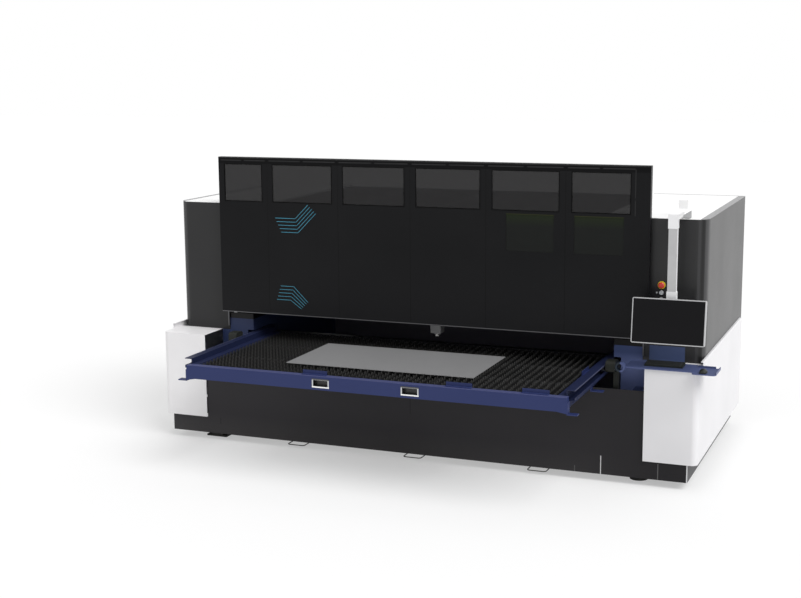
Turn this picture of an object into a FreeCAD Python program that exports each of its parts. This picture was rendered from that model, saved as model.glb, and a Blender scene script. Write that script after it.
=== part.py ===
import FreeCAD, Part
import Sketcher
import os
import re

# A sheet-metal laser cutting machine with a lifting front door and a pull-out slatted table.
# Every size is in millimetres. "across" runs along the machine from its left end, "back" runs
# away from the front of the bed, and "up" starts at the floor.

SIZES = {
    # bed and the dark skirts round it
    "bed_length": 4600,
    "bed_depth": 2152,
    "floor_gap": 60,
    "skirt_inset": 20,
    "skirt_sheet": 3,
    "skirt_step": 204,
    "sill_height": 758,
    "girder_width": 253,
    "girder_overhang": 58,
    "girder_outer": 370,
    "girder_top": 1091,
    "girder_step": 945,
    "girder_wall": 10,
    "leg_width": 130,
    "beam_thick": 100,
    "beam_low": 560,
    "beam_high": 160,
    "rear_beam_back": 1990,
    # feet
    "sole_length": 195,
    "sole_width": 180,
    "sole_thick": 15,
    "wedge_length": 100,
    "wedge_shift": 35,
    "sole_shift": 8,
    "anchor_radius": 9,
    "anchor_pitch": 165,
    "pad_radius": 72,
    "pad_thick": 18,
    "stud_radius": 15,
    "foot_front": 195,
    "foot_pitch": 1780,
    # pale end covers
    "cover_out": 52,
    "cover_face": 8,
    "cover_inner": 367,
    "cover_back": 2128,
    "cover_top": 986,
    "cover_sheet": 4,
    "cover_corner": 50,
    "cover_shoulder": 10,
    "deck_height": 940,
    "deck_reach": 168,
    # upper casing
    "case_front": 306,
    "case_out": 31,
    "case_back": 2241,
    "case_sheet": 3,
    "case_corner": 95,
    "case_wrap": 110,
    "seam_wide": 3,
    "roof_rim": 56,
    "fascia_inner": 450,
    "roof_top": 2070,
    "roof_sheet": 4,
    "roof_drop": 17,
    "roof_end": 784,
    "rail_tube": 40,
    "rail_deep": 60,
    "vent_rows": 6,
    "vent_slot": 14,
    "vent_length": 420,
    "vent_pitch": 42,
    "vent_low": 1250,
    "vent_edge": 400,
    # openings and fittings at the rear
    "spigot_radius": 125,
    "spigot_wall": 2,
    "spigot_length": 80,
    "spigot_flange": 160,
    "spigot_height": 420,
    "gland_radius": 24,
    "gland_height": 320,
    "gland_place": 3980,
    # lifting door
    "door_left": 417,
    "door_extra": 17,
    "door_bottom": 1114,
    "door_height": 1362,
    "door_front": 236,
    "door_thick": 55,
    "door_skin": 4,
    "door_rim": 36,
    "door_rib": 30,
    "bay_first": 888,
    "bay_pitch": 659,
    "window_low": 2097,
    "window_high": 318,
    "window_gap": 104,
    "window_left": 475,
    "window_right": 4044,
    "pane_thick": 5,
    "pane_lap": 12,
    "viewer_low": 1768,
    "viewer_high": 302,
    "viewer_first_in": 118,
    "viewer_first_out": 40,
    "viewer_last_in": 22,
    "viewer_last_out": 49,
    "lift_rail_wide": 12,
    "lift_shoe_wide": 12,
    "lift_rail_low": 975,
    "lift_rail_high": 1060,
    "lift_block": 120,
    # pull-out table
    "table_left": 730,
    "table_front": 930,
    "table_depth": 1570,
    "tube_low": 785,
    "tube_high": 108,
    "tube_wide": 60,
    "tube_wall": 5,
    "channel_low": 857,
    "channel_high": 80,
    "channel_web": 20,
    "channel_sheet": 6,
    "channel_flange": 66,
    "channel_lip": 23,
    "cross_wide": 40,
    "cross_top": 868,
    "rib_thick": 10,
    "rib_top": 890,
    "slat_count": 51,
    "slat_pitch": 58.4,
    "slat_thick": 3,
    "slat_low": 843,
    "slat_tip": 903,
    "slat_teeth": 14,
    "tooth_deep": 14,
    "comb_thick": 5,
    "comb_low": 800,
    "comb_top": 875,
    "comb_seat": 855,
    "slot_gap": 0.8,
    "notch_gap": 2,
    "clip_long": 205,
    "clip_wide": 36,
    "clip_high": 32,
    "clip_sheet": 5,
    "clip_first": 1743,
    "clip_second": 2928,
    "clip_third": 3521,
    "handle_long": 144,
    "handle_high": 70,
    "handle_deep": 38,
    "handle_rim": 8,
    "handle_proud": 3,
    "handle_wall": 2,
    "handle_first": 1918,
    "handle_second": 2658,
    "tab_thick": 8,
    "tab_reach": 79,
    "tab_long": 55,
    "tab_low": 764,
    "brace_long": 76,
    "sheet_left": 1470,
    "sheet_long": 1586,
    "sheet_front": 620,
    "sheet_wide": 800,
    "sheet_thick": 4,
    # rollers and shoes that carry the table
    "roller_radius": 33.5,
    "roller_wide": 26,
    "roller_side": 2.5,
    "roller_back": 60,
    "axle_radius": 12,
    "post_wide": 43,
    "post_back": 60,
    "post_thick": 45,
    "post_shift": 18,
    "holder_gap": 9,
    "holder_wide": 75,
    "holder_long": 120,
    "holder_front": 0,
    "holder_low": 885,
    "holder_high": 90,
    "holder_corner": 26,
    "shoe_long": 90,
    "shoe_inset": 65,
    "shoe_pitch": 985,
    # gantry, carriage and cutting head
    "guide_wide": 30,
    "guide_high": 30,
    "guide_place": 500,
    "saddle_wide": 160,
    "saddle_long": 280,
    "saddle_high": 64,
    "saddle_gap": 6,
    "saddle_back": 560,
    "gantry_back": 620,
    "gantry_thick": 160,
    "gantry_high": 260,
    "gantry_wall": 12,
    "gantry_inset": 420,
    "track_high": 20,
    "track_deep": 15,
    "track_low": 30,
    "track_pitch": 180,
    "head_across": 2365,
    "head_back": 450,
    "plate_wide": 260,
    "plate_thick": 20,
    "plate_high": 240,
    "plate_gap": 10,
    "bearing_deep": 35,
    "bearing_wide": 60,
    "bearing_high": 50,
    "screw_rail": 12,
    "screw_pitch": 80,
    "slide_wide": 120,
    "slide_low": 1140,
    "slide_high": 160,
    "head_wide": 90,
    "head_low": 1055,
    "head_high": 245,
    "cone_high": 55,
    "tip_height": 971,
    "tip_radius": 6,
    "motor_wide": 90,
    "motor_thick": 80,
    "motor_high": 90,
    # slag trays
    "tray_pitch": 1075,
    "tray_wide": 1000,
    "tray_front": 175,
    "tray_deep": 1390,
    "tray_low": 10,
    "tray_high": 36,
    "tray_sheet": 2,
    "tray_lip": 8,
    "lip_low": 30,
    "lip_thick": 4,
    "pull_wide": 156,
    "pull_reach": 171,
    "pull_wire": 4,
    "pull_bend": 22,
    # operator's console
    "shelf_left": 4080,
    "shelf_right": 4604,
    "shelf_front": 25,
    "shelf_back": 228,
    "shelf_thick": 8,
    "mouse_wide": 177,
    "mouse_front": 88,
    "mouse_back": 148,
    "flap_wide": 5,
    "flap_rise": 14,
    "pad_corner": 20,
    "mouse_half": 31,
    "mouse_long": 104,
    "mouse_high": 34,
    "mouse_nose": 12,
    "mouse_place": 81,
    "ring_radius": 38,
    "ring_bore": 25,
    "ring_long": 46,
    "keys_left": 4216,
    "keys_long": 295,
    "keys_front": 55,
    "keys_deep": 125,
    "keys_low": 10,
    "keys_high": 24,
    "plate_left": 4204,
    "plate_long": 278,
    "badge_low": 944,
    "badge_high": 118,
    # screen on its swinging arm
    "pivot_across": 4407,
    "pivot_back": 520,
    "pin_radius": 16,
    "base_radius": 56,
    "base_thick": 8,
    "column_wide": 75,
    "column_top": 2194,
    "arm_low": 2085,
    "arm_high": 40,
    "gusset_wide": 80,
    "gusset_long": 150,
    "gusset_high": 40,
    "mast_wide": 75,
    "mast_deep": 50,
    "mast_back": 75,
    "mast_head": 102,
    "mast_foot": 72,
    "cap_proud": 5,
    "mast_low": 1463,
    "light_deep": 10,
    "screen_wide": 560,
    "screen_high": 348,
    "screen_thick": 40,
    "screen_centre": 1309,
    "screen_gap": 40,
    "screen_tilt": 7,
    "screen_corner": 12,
    "hinge_radius": 14,
    "hinge_long": 60,
    "hinge_offset": 15,
    "fork_thick": 12,
    "bezel": 7,
    "pane_deep": 3,
    # operating buttons
    "button_across": 4287,
    "mushroom_height": 1545,
    "mushroom_radius": 24,
    "mushroom_thick": 16,
    "mushroom_travel": 5,
    "collar_radius": 30,
    "collar_thick": 10,
    "start_drop": 60,
    "stop_drop": 53,
    "button_radius": 16,
    "button_proud": 9,
    "button_travel": 3,
    "stem_radius": 9,
    "clearance": 0.3,
}

doc = FreeCAD.newDocument("cutting_machine")
sheet = doc.addObject("Spreadsheet::Sheet", "sizes")
for row, (alias, size) in enumerate(SIZES.items(), start=1):
    sheet.set(f"A{row}", alias)
    sheet.set(f"B{row}", str(size))
    sheet.setAlias(f"B{row}", alias)
doc.recompute()

AXES = {"x": FreeCAD.Vector(1, 0, 0), "y": FreeCAD.Vector(0, 1, 0), "z": FreeCAD.Vector(0, 0, 1)}
LEFT = "left"
RIGHT = "right"

# The model's origin lies on the floor, in the middle of everything that the machine covers.
REACH_RIGHT = "(shelf_right + mouse_wide + flap_wide)"
ORIGIN_ACROSS = f"(({REACH_RIGHT} - cover_out) / 2)"
ORIGIN_BACK = "((case_back - table_front - handle_proud) / 2)"
NODES = []


def linked(text):
    """The expression with the sheet's name in front of each of its sizes."""
    return re.sub(r"[a-z][a-z_]*", lambda m: f"sizes.{m[0]}" if m[0] in SIZES else m[0], text)


def number(text):
    """The value that an expression has now."""
    return float(sheet.evalExpression(text))


def bind(thing, path, text):
    thing.setExpression(path, linked(text))


def put(thing, across, back, up):
    """Places a tool or a blank inside its own sub-part."""
    bind(thing, "Placement.Base.x", across)
    bind(thing, "Placement.Base.y", back)
    bind(thing, "Placement.Base.z", up)
    return thing


def node(name, thing, across="0", back="0", up="0"):
    """Names a finished sub-part and sets it in the machine."""
    thing.Label = name
    put(thing, f"({across}) - {ORIGIN_ACROSS}", f"({back}) - {ORIGIN_BACK}", up)
    NODES.append(thing)
    return thing


def block(size, low=("0", "0", "0")):
    """A rectangular block from its lowest corner."""
    solid = doc.addObject("Part::Box", "block")
    for path, text in zip(("Length", "Width", "Height"), size):
        bind(solid, path, text)
    return put(solid, *low)


TURNS = {
    "x": FreeCAD.Rotation(AXES["y"], 90),
    "y": FreeCAD.Rotation(AXES["x"], -90),
    "z": FreeCAD.Rotation(),
}


def rod(radius, length, start, axis):
    """A round bar along an axis."""
    solid = doc.addObject("Part::Cylinder", "rod")
    bind(solid, "Radius", radius)
    bind(solid, "Height", length)
    solid.Placement = FreeCAD.Placement(FreeCAD.Vector(), TURNS[axis])
    return put(solid, *start)


def cone(radius, tip_radius, length, start):
    """An upright cone whose first radius is at its lower end."""
    solid = doc.addObject("Part::Cone", "cone")
    bind(solid, "Radius1", radius)
    bind(solid, "Radius2", tip_radius)
    bind(solid, "Height", length)
    return put(solid, *start)


def fuse(*parts):
    """One solid from pieces that are welded or formed together."""
    result = doc.addObject("Part::MultiFuse", "welded")
    result.Shapes = list(parts)
    result.Refine = True
    return result


def cut(base, *tools):
    result = doc.addObject("Part::Cut", "cut")
    result.Base = base
    result.Tool = tools[0] if len(tools) == 1 else fuse(*tools)
    return result


def group(*parts):
    """Separate solids that share one node."""
    result = doc.addObject("Part::Compound", "group")
    result.Links = list(parts)
    return result


def outline(sketch, points):
    """A closed outline whose corners are tied to the sheet."""
    flat = [FreeCAD.Vector(number(a), number(b), 0) for a, b in points]
    first = sketch.GeometryCount
    for index, start in enumerate(flat):
        sketch.addGeometry(Part.LineSegment(start, flat[(index + 1) % len(flat)]), False)
    for index, (a, b) in enumerate(points):
        line = first + index
        before = first + (index - 1) % len(points)
        sketch.addConstraint(Sketcher.Constraint("Coincident", before, 2, line, 1))
        for kind, value, text in (("DistanceX", flat[index].x, a), ("DistanceY", flat[index].y, b)):
            tie = sketch.addConstraint(Sketcher.Constraint(kind, -1, 1, line, 1, value))
            bind(sketch, f"Constraints[{tie}]", text)


def prism(plane, length, *outlines):
    """A pad of one outline, less any further ones, along X, Y or Z from the sub-part's origin."""
    body = doc.addObject("PartDesign::Body", "body")
    sketch = body.newObject("Sketcher::SketchObject", "profile")
    base = next(f for f in body.Origin.OriginFeatures if f.Role == f"{plane}_Plane")
    sketch.AttachmentSupport = (base, [""])
    sketch.MapMode = "FlatFace"
    for points in outlines:
        outline(sketch, points)
    pad = body.newObject("PartDesign::Pad", "pad")
    pad.Profile = sketch
    bind(pad, "Length", length)
    pad.Reversed = plane == "XZ"
    body.Tip = pad
    return body


def edges_along(shape, axis, place):
    """The straight edges along an axis that pass through a place, given as two coordinates."""
    others = [k for k in "xyz" if k != axis]
    found = []
    for index, edge in enumerate(shape.Edges, start=1):
        ends = [v.Point for v in edge.Vertexes]
        if len(ends) != 2 or edge.Curve.TypeId != "Part::GeomLine":
            continue
        along = (ends[1] - ends[0]).normalize()
        if abs(along.dot(AXES[axis])) < 0.999:
            continue
        near = all(p is None or abs(getattr(ends[0], k) - p) < 0.01 for k, p in zip(others, place))
        if near:
            found.append(index)
    return found


def rounded(base, *picks):
    """Rounds chosen straight edges: each pick is an axis, two coordinates and a radius."""
    doc.recompute()
    result = doc.addObject("Part::Fillet", "rounded")
    result.Base = base
    chosen = []
    for axis, place, radius in picks:
        where = [None if text is None else number(text) for text in place]
        size = number(radius)
        chosen += [(index, size, size) for index in edges_along(base.Shape, axis, where)]
    result.Edges = chosen
    return result


def rectangle(low_a, low_b, high_a, high_b):
    return [(low_a, low_b), (high_a, low_b), (high_a, high_b), (low_a, high_b)]


def flipped(points, width):
    """The same outline seen in a mirror, within a given width."""
    return [(f"({width}) - ({a})", b) for a, b in points]


def opposite(across, width="0"):
    """Where a piece at the left end lies at the right end."""
    return f"(bed_length - ({across}) - ({width}))"


def both_ends(across, width):
    return (across, opposite(across, width))


# ---------------------------------------------------------------- bed

GIRDER_FRONT = "(case_front + case_sheet)"
GIRDER_LONG = f"(bed_depth - skirt_sheet - {GIRDER_FRONT})"
GIRDER_WIDE = "(girder_width + girder_overhang)"
GIRDER_HIGH = "(girder_top - floor_gap)"
STEP_HIGH = "(girder_step - floor_gap)"


def girder(side):
    """A welded box girder with a ledge that overhangs the table's path."""
    outer = [
        ("0", "0"),
        ("girder_width", "0"),
        ("girder_width", STEP_HIGH),
        (GIRDER_WIDE, STEP_HIGH),
        (GIRDER_WIDE, GIRDER_HIGH),
        ("0", GIRDER_HIGH),
    ]
    wall = "girder_wall"
    inner = [
        (wall, wall),
        (f"girder_width - {wall}", wall),
        (f"girder_width - {wall}", f"{STEP_HIGH} + {wall}"),
        (f"{GIRDER_WIDE} - {wall}", f"{STEP_HIGH} + {wall}"),
        (f"{GIRDER_WIDE} - {wall}", f"{GIRDER_HIGH} - {wall}"),
        (wall, f"{GIRDER_HIGH} - {wall}"),
    ]
    if side == RIGHT:
        outer = flipped(outer, GIRDER_WIDE)
        inner = flipped(inner, GIRDER_WIDE)
    hollow = prism("XZ", GIRDER_LONG, inner)
    put(hollow, "0", wall, "0")
    across = "girder_outer" if side == LEFT else opposite("girder_outer", GIRDER_WIDE)
    shape = cut(prism("XZ", GIRDER_LONG, outer), hollow)
    return node(f"bed_girder_{side}", shape, across, GIRDER_FRONT, "floor_gap")


for side in (LEFT, RIGHT):
    girder(side)

LEG_DEEP = f"({GIRDER_FRONT} - cover_face)"
BEAM_SPAN = "(bed_length - 2 * girder_outer)"


def bed_cross_beams():
    """The welded front portal on two legs, and the rear tie between the girders."""
    wall = "girder_wall"
    front = cut(
        block((BEAM_SPAN, "beam_thick", "beam_high"), ("girder_outer", "cover_face", "beam_low")),
        block(
            (f"{BEAM_SPAN} - 2 * {wall}", f"beam_thick - 2 * {wall}", f"beam_high - 2 * {wall}"),
            (f"girder_outer + {wall}", f"cover_face + {wall}", f"beam_low + {wall}"),
        ),
    )
    legs = []
    for across in both_ends("girder_outer", "leg_width"):
        legs.append(block(("leg_width", LEG_DEEP, "beam_low - floor_gap"),
                          (across, "cover_face", "floor_gap")))
    side_ties = []
    for across in both_ends("girder_outer", "leg_width"):
        size = ("leg_width", f"{LEG_DEEP} - beam_thick", "beam_high")
        side_ties.append(block(size, (across, "cover_face + beam_thick", "beam_low")))
    sill = block((f"{BEAM_SPAN} - 2 * leg_width", "rail_tube", "rail_deep"),
                 ("girder_outer + leg_width", "tray_front", "floor_gap"))
    inner = "(girder_outer + girder_width)"
    rear = block(("bed_length - 2 * " + inner, "beam_thick", "beam_high"),
                 (inner, "rear_beam_back", "floor_gap"))
    return node("bed_cross_beams", group(fuse(front, *legs, *side_ties, sill), rear))


bed_cross_beams()


def feet():
    """Sole plates on levelling wedges at the left end, round pads on studs at the right end."""
    pieces = []
    wedge_left = "(girder_outer + (leg_width - wedge_length) / 2 - wedge_shift)"
    sole_left = f"({wedge_left} + (wedge_length - sole_length) / 2 - sole_shift)"
    for back in ("foot_front - sole_width / 2", "foot_front + foot_pitch - sole_width / 2"):
        sole = block(("sole_length", "sole_width", "sole_thick"), (sole_left, back, "0"))
        wedge_size = ("wedge_length", "sole_width", "floor_gap - sole_thick")
        wedge = block(wedge_size, (wedge_left, back, "sole_thick"))
        holes = []
        for place in ("- anchor_pitch / 2", "+ anchor_pitch / 2"):
            start = (f"{sole_left} + sole_length / 2 {place}", f"{back} + sole_width / 2", "- clearance")
            holes.append(rod("anchor_radius", "sole_thick + 2 * clearance", start, "z"))
        pieces.append(cut(fuse(sole, wedge), *holes))
    stud = opposite("girder_outer + leg_width / 2")
    for back in ("foot_front", "foot_front + foot_pitch"):
        pad = rod("pad_radius", "pad_thick", (stud, back, "0"), "z")
        post = rod("stud_radius", "floor_gap - pad_thick", (stud, back, "pad_thick"), "z")
        pieces.append(fuse(pad, post))
    return node("levelling_feet", group(*pieces))


feet()


def front_skirt():
    """The dark front sheet: full length below, and up to the sill between the end covers."""
    inset = "skirt_inset"
    far = "(bed_length - skirt_inset)"
    points = [
        (inset, "floor_gap"),
        (far, "floor_gap"),
        (far, "skirt_step - clearance"),
        (opposite("cover_inner + clearance"), "skirt_step - clearance"),
        (opposite("cover_inner + clearance"), "sill_height"),
        ("cover_inner + clearance", "sill_height"),
        ("cover_inner + clearance", "skirt_step - clearance"),
        (inset, "skirt_step - clearance"),
    ]
    return node("front_skirt", prism("XZ", "skirt_sheet", points), "0", "cover_face - skirt_sheet")


front_skirt()
SPIGOT_ACROSS = "(bed_length / 2)"


def plinth_cover():
    """The skirt's two sides and the rear cover, folded from one wide sheet."""
    thick = "skirt_sheet"
    far = "(bed_length - 2 * skirt_inset)"
    deep = "(bed_depth - cover_face)"
    plan = [
        ("0", "0"),
        (thick, "0"),
        (thick, f"{deep} - {thick}"),
        (f"{far} - {thick}", f"{deep} - {thick}"),
        (f"{far} - {thick}", "0"),
        (far, "0"),
        (far, deep),
        ("0", deep),
    ]
    low_sheet = prism("XY", "skirt_step - floor_gap + girder_wall", plan)
    back_size = (far, thick, "deck_height - floor_gap")
    back = block(back_size, ("0", f"{deep} - {thick}", "0"))
    hole = rod("spigot_radius - spigot_wall", "4 * skirt_sheet",
               (f"{SPIGOT_ACROSS} - skirt_inset", f"{deep} - 2 * {thick}", "spigot_height - floor_gap"), "y")
    return node("plinth_cover", cut(fuse(low_sheet, back), hole), "skirt_inset", "cover_face", "floor_gap")


plinth_cover()


# ---------------------------------------------------------------- covers, casing and roof

COVER_LONG = "(cover_back + cover_face)"
COVER_WIDE = "(cover_out + cover_inner)"
LIP_WIDE = "(cover_out - case_out - clearance)"


def end_cover(side):
    """A folded cover: front, rounded corner, side with a top lip, and the low deck in front."""
    wall = "cover_sheet"
    high = "(cover_top - skirt_step)"
    deck_up = "(deck_height - skirt_step)"
    plan = [("0", "0"), (COVER_WIDE, "0"), (COVER_WIDE, wall), (wall, wall), (wall, COVER_LONG), ("0", COVER_LONG)]
    lip_low = ("0", "deck_reach", f"{high} - {wall}")
    deck_deep = "(case_front + cover_face - clearance)"
    deck = [(wall, wall), (COVER_WIDE, wall), (COVER_WIDE, deck_deep), (wall, deck_deep)]
    recess_low = ("- clearance", "- clearance", deck_up)
    if side == RIGHT:
        plan = flipped(plan, COVER_WIDE)
        deck = flipped(deck, COVER_WIDE)
        lip_low = (f"{COVER_WIDE} - {LIP_WIDE}", "deck_reach", f"{high} - {wall}")
    edge = "0" if side == LEFT else COVER_WIDE
    inner = wall if side == LEFT else f"{COVER_WIDE} - {wall}"
    shell = rounded(prism("XY", high, plan), ("z", (edge, "0"), "cover_corner"),
                    ("z", (inner, wall), "cover_corner - cover_sheet"))
    lip = block((LIP_WIDE, f"{COVER_LONG} - deck_reach", wall), lip_low)
    plate = rounded(prism("XY", wall, deck), ("z", (inner, wall), "cover_corner - cover_sheet"))
    put(plate, "0", "0", f"{deck_up} - {wall}")
    recess = block((f"{COVER_WIDE} + 2 * clearance", "deck_reach + clearance", "cover_top"), recess_low)
    body = fuse(cut(fuse(shell, lip), recess), plate)
    shaped = rounded(body, ("y", (edge, high), "cover_shoulder"))
    across = "- cover_out" if side == LEFT else opposite("- cover_out", COVER_WIDE)
    return node(f"end_cover_{side}", shaped, across, "- cover_face", "skirt_step")


for side in (LEFT, RIGHT):
    end_cover(side)

CASE_DEEP = "(case_back - case_front)"
FASCIA_WIDE = "(case_out + fascia_inner)"
START_HEIGHT = "(mushroom_height - start_drop)"
STOP_HEIGHT = "(mushroom_height - start_drop - stop_drop)"
CASE_TOP = "(roof_top - roof_sheet)"


def casing(side):
    """A fascia rolled round the front corner, the side sheet that continues it, and the rim along its top."""
    wall = "case_sheet"
    high = f"({CASE_TOP} - deck_height)"
    skin = [("0", "0"), (FASCIA_WIDE, "0"), (FASCIA_WIDE, wall), (wall, wall), (wall, CASE_DEEP), ("0", CASE_DEEP)]
    ledge = rectangle("0", "0", "2 * case_corner", CASE_DEEP)
    spare = rectangle("roof_rim", "- clearance", "3 * case_corner", f"{CASE_DEEP} + clearance")
    groove = rectangle("- clearance", "case_wrap", f"{wall} / 2", "case_wrap + seam_wide")
    edge, bend = "0", wall
    if side == RIGHT:
        skin, ledge, spare, groove = [flipped(points, FASCIA_WIDE) for points in (skin, ledge, spare, groove)]
        edge, bend = FASCIA_WIDE, f"{FASCIA_WIDE} - {wall}"
    shell = rounded(prism("XY", high, skin), ("z", (edge, "0"), "case_corner"),
                    ("z", (bend, wall), "case_corner - case_sheet"))
    seam = put(prism("XY", f"{high} + 2 * clearance", groove), "0", "0", "- clearance")
    rim = cut(rounded(prism("XY", "roof_sheet", ledge), ("z", (edge, "0"), "case_corner")),
              put(prism("XY", "3 * roof_sheet", spare), "0", "0", "- roof_sheet"))
    put(rim, "0", "0", high)
    shape = fuse(cut(shell, seam), rim)
    across = "- case_out" if side == LEFT else opposite("- case_out", FASCIA_WIDE)
    if side == RIGHT:
        holes = []
        for height in ("mushroom_height", START_HEIGHT, STOP_HEIGHT):
            place = f"button_across - ({across})"
            start = (place, "- clearance", f"{height} - deck_height")
            holes.append(rod("stem_radius", "case_sheet + 2 * clearance", start, "y"))
        shape = cut(shape, *holes)
    return node(f"casing_{side}", shape, across, "case_front", "deck_height")


for side in (LEFT, RIGHT):
    casing(side)

ROOF_WIDE = "(roof_end + case_out)"
RAIL_TOP = "(roof_top - roof_drop - roof_sheet)"
MIDDLE_WIDE = "(bed_length - 2 * roof_end)"
MIDDLE_PANELS = 4


def roof_panels():
    """Two raised end panels with rounded corners, and four lower panels between them."""
    pieces = []
    for side in (LEFT, RIGHT):
        edge = "0"
        rim_low = ("- clearance", "- clearance", "- roof_sheet")
        if side == RIGHT:
            edge = ROOF_WIDE
            rim_low = (f"{ROOF_WIDE} - roof_rim - clearance", "- clearance", "- roof_sheet")
        plan = rectangle("0", "0", ROOF_WIDE, CASE_DEEP)
        whole = rounded(prism("XY", "roof_sheet", plan), ("z", (edge, "0"), "case_corner"))
        rim = block(("roof_rim + 2 * clearance", f"{CASE_DEEP} + 2 * clearance", "3 * roof_sheet"), rim_low)
        plate = cut(whole, rim)
        across = "- case_out" if side == LEFT else opposite("- case_out", ROOF_WIDE)
        put(plate, across, "case_front", CASE_TOP)
        fold_left = "(roof_end - roof_sheet)" if side == LEFT else opposite("roof_end")
        fold_size = ("roof_sheet", f"{CASE_DEEP} - case_sheet", "roof_drop")
        fold = block(fold_size, (fold_left, "case_front + case_sheet", f"{CASE_TOP} - roof_drop"))
        pieces.append(fuse(plate, fold))
    wide = f"({MIDDLE_WIDE} / {MIDDLE_PANELS})"
    for index in range(MIDDLE_PANELS):
        size = (f"{wide} - clearance", CASE_DEEP, "roof_sheet")
        pieces.append(block(size, (f"roof_end + {index} * {wide} + clearance", "case_front", RAIL_TOP)))
    return node("roof_panels", group(*pieces))


roof_panels()


def roof_rails():
    """Two box rails that span the machine between the casing's sides and carry the roof."""
    pieces = []
    inner = "(case_sheet - case_out)"
    for back in ("case_front + case_sheet", "case_back - case_sheet - rail_tube"):
        size = (f"bed_length - 2 * {inner}", "rail_tube", "rail_deep")
        place = (inner, back, f"{RAIL_TOP} - rail_deep")
        rail = block(size, place)
        if back.startswith("case_front"):
            corner = "case_corner"
            size = (f"bed_length - 2 * {inner} - 2 * {corner}", "rail_tube", "rail_deep")
            rail = block(size, (f"{inner} + {corner}", back, f"{RAIL_TOP} - rail_deep"))
        pieces.append(rail)
    return node("roof_rails", group(*pieces))


roof_rails()


def rear_cover():
    """The upper rear sheet with its louvre slots, folded in at the foot to meet the plinth."""
    wide = "(bed_length + 2 * case_out - 2 * case_sheet)"
    high = f"({RAIL_TOP} - deck_height)"
    wall = "case_sheet"
    fold = "(case_back - bed_depth - 2 * clearance)"
    section = [("0", "0"), (f"{fold} + {wall}", "0"), (f"{fold} + {wall}", high), (fold, high), (fold, wall), ("0", wall)]
    sheet_metal = prism("YZ", wide, section)
    slots = []
    for across in ("vent_edge", f"{wide} - vent_edge - vent_length"):
        for row in range(int(number("vent_rows"))):
            size = ("vent_length", "4 * case_sheet", "vent_slot")
            slots.append(block(size, (across, f"{fold} - {wall}", f"vent_low - deck_height + {row} * vent_pitch")))
    back = f"case_back - {wall} - {fold}"
    return node("rear_cover", cut(sheet_metal, *slots), "case_sheet - case_out", back, "deck_height")


rear_cover()


def extraction_spigot():
    """The flanged round spigot that takes the fume duct."""
    tube = rod("spigot_radius", "spigot_length", ("0", "0", "0"), "y")
    flange = rod("spigot_flange", "2 * spigot_wall", ("0", "0", "0"), "y")
    bore = rod("spigot_radius - spigot_wall", "spigot_length + 2 * clearance", ("0", "- clearance", "0"), "y")
    return node("extraction_spigot", cut(fuse(tube, flange), bore), SPIGOT_ACROSS, "bed_depth", "spigot_height")


extraction_spigot()


def power_gland():
    """The gland where the mains lead would enter."""
    nut = rod("gland_radius", "gland_radius", ("0", "0", "0"), "y")
    dome = rod("gland_radius * 0.75", "gland_radius", ("0", "gland_radius", "0"), "y")
    bore = rod("gland_radius * 0.45", "gland_radius + clearance", ("0", "gland_radius", "0"), "y")
    return node("power_gland", cut(fuse(nut, dome), bore), "gland_place", "bed_depth", "gland_height")


power_gland()


# ---------------------------------------------------------------- lifting door

DOOR_WIDE = "(bed_length - 2 * door_left + door_extra)"


def window_spans():
    """Left edge and width of each of the six upper windows."""
    half = "(window_gap / 2)"
    spans = [("window_left", f"(bay_first - {half} - window_left)")]
    for bay in range(4):
        spans.append((f"(bay_first + {bay} * bay_pitch + {half})", "(bay_pitch - window_gap)"))
    last = f"(bay_first + 4 * bay_pitch + {half})"
    spans.append((last, f"(window_right - {last})"))
    return spans


def viewer_spans():
    """Left edge and width of the two lower windows, each set in from the upper window above it."""
    spans = []
    for (left, wide), place in zip(window_spans()[4:], ("viewer_first", "viewer_last")):
        spans.append((f"({left} + {place}_in)", f"({wide} - {place}_in - {place}_out)"))
    return spans


def pane_opening(span, low, high):
    """The tool that opens the door's front skin for one window."""
    across, wide = span
    return block((wide, "2 * door_skin", high), (f"{across} - door_left", "- door_skin / 2", f"{low} - door_bottom"))


def door_panel():
    """A shallow tray: skin, rim all round and upright ribs between the bays."""
    blank = block((DOOR_WIDE, "door_thick", "door_height"))
    edges = ["door_rim"]
    for bay in range(5):
        edges.append(f"(bay_first + {bay} * bay_pitch - door_left - door_rib / 2)")
    tools = []
    for index, start in enumerate(edges):
        stop = f"({edges[index + 1]})" if index < 5 else f"({DOOR_WIDE} - door_rim)"
        begin = start if index == 0 else f"({start} + door_rib)"
        size = (f"{stop} - {begin}", "door_thick", "door_height - 2 * door_rim")
        tools.append(block(size, (begin, "door_skin", "door_rim")))
    for span in window_spans():
        tools.append(pane_opening(span, "window_low", "window_high"))
    for span in viewer_spans():
        tools.append(pane_opening(span, "viewer_low", "viewer_high"))
    return node("door_panel", cut(blank, *tools), "door_left", "door_front", "door_bottom")


door_panel()


def panes(name, spans, low, high):
    """Clear sheets held against the back of the door's skin."""
    pieces = []
    for across, wide in spans:
        size = (f"{wide} + 2 * pane_lap", "pane_thick", f"{high} + 2 * pane_lap")
        pieces.append(block(size, (f"{across} - pane_lap", "0", "0")))
    return node(name, group(*pieces), "0", "door_front + door_skin", f"{low} - pane_lap")


panes("window_panes", window_spans(), "window_low", "window_high")
panes("viewing_panes", viewer_spans(), "viewer_low", "viewer_high")
DOOR_BACK = "(door_front + door_thick)"
RAIL_ACROSS = "(fascia_inner - lift_rail_wide - clearance)"


def door_lift_rails():
    """Upright rails on the fascias that guide and lift the door."""
    pieces = []
    for across in both_ends(RAIL_ACROSS, "lift_rail_wide"):
        size = ("lift_rail_wide", f"case_front - {DOOR_BACK} - clearance", "lift_rail_high")
        pieces.append(block(size, (across, f"{DOOR_BACK} + clearance", "lift_rail_low")))
    return node("door_lift_rails", group(*pieces))


door_lift_rails()


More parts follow.
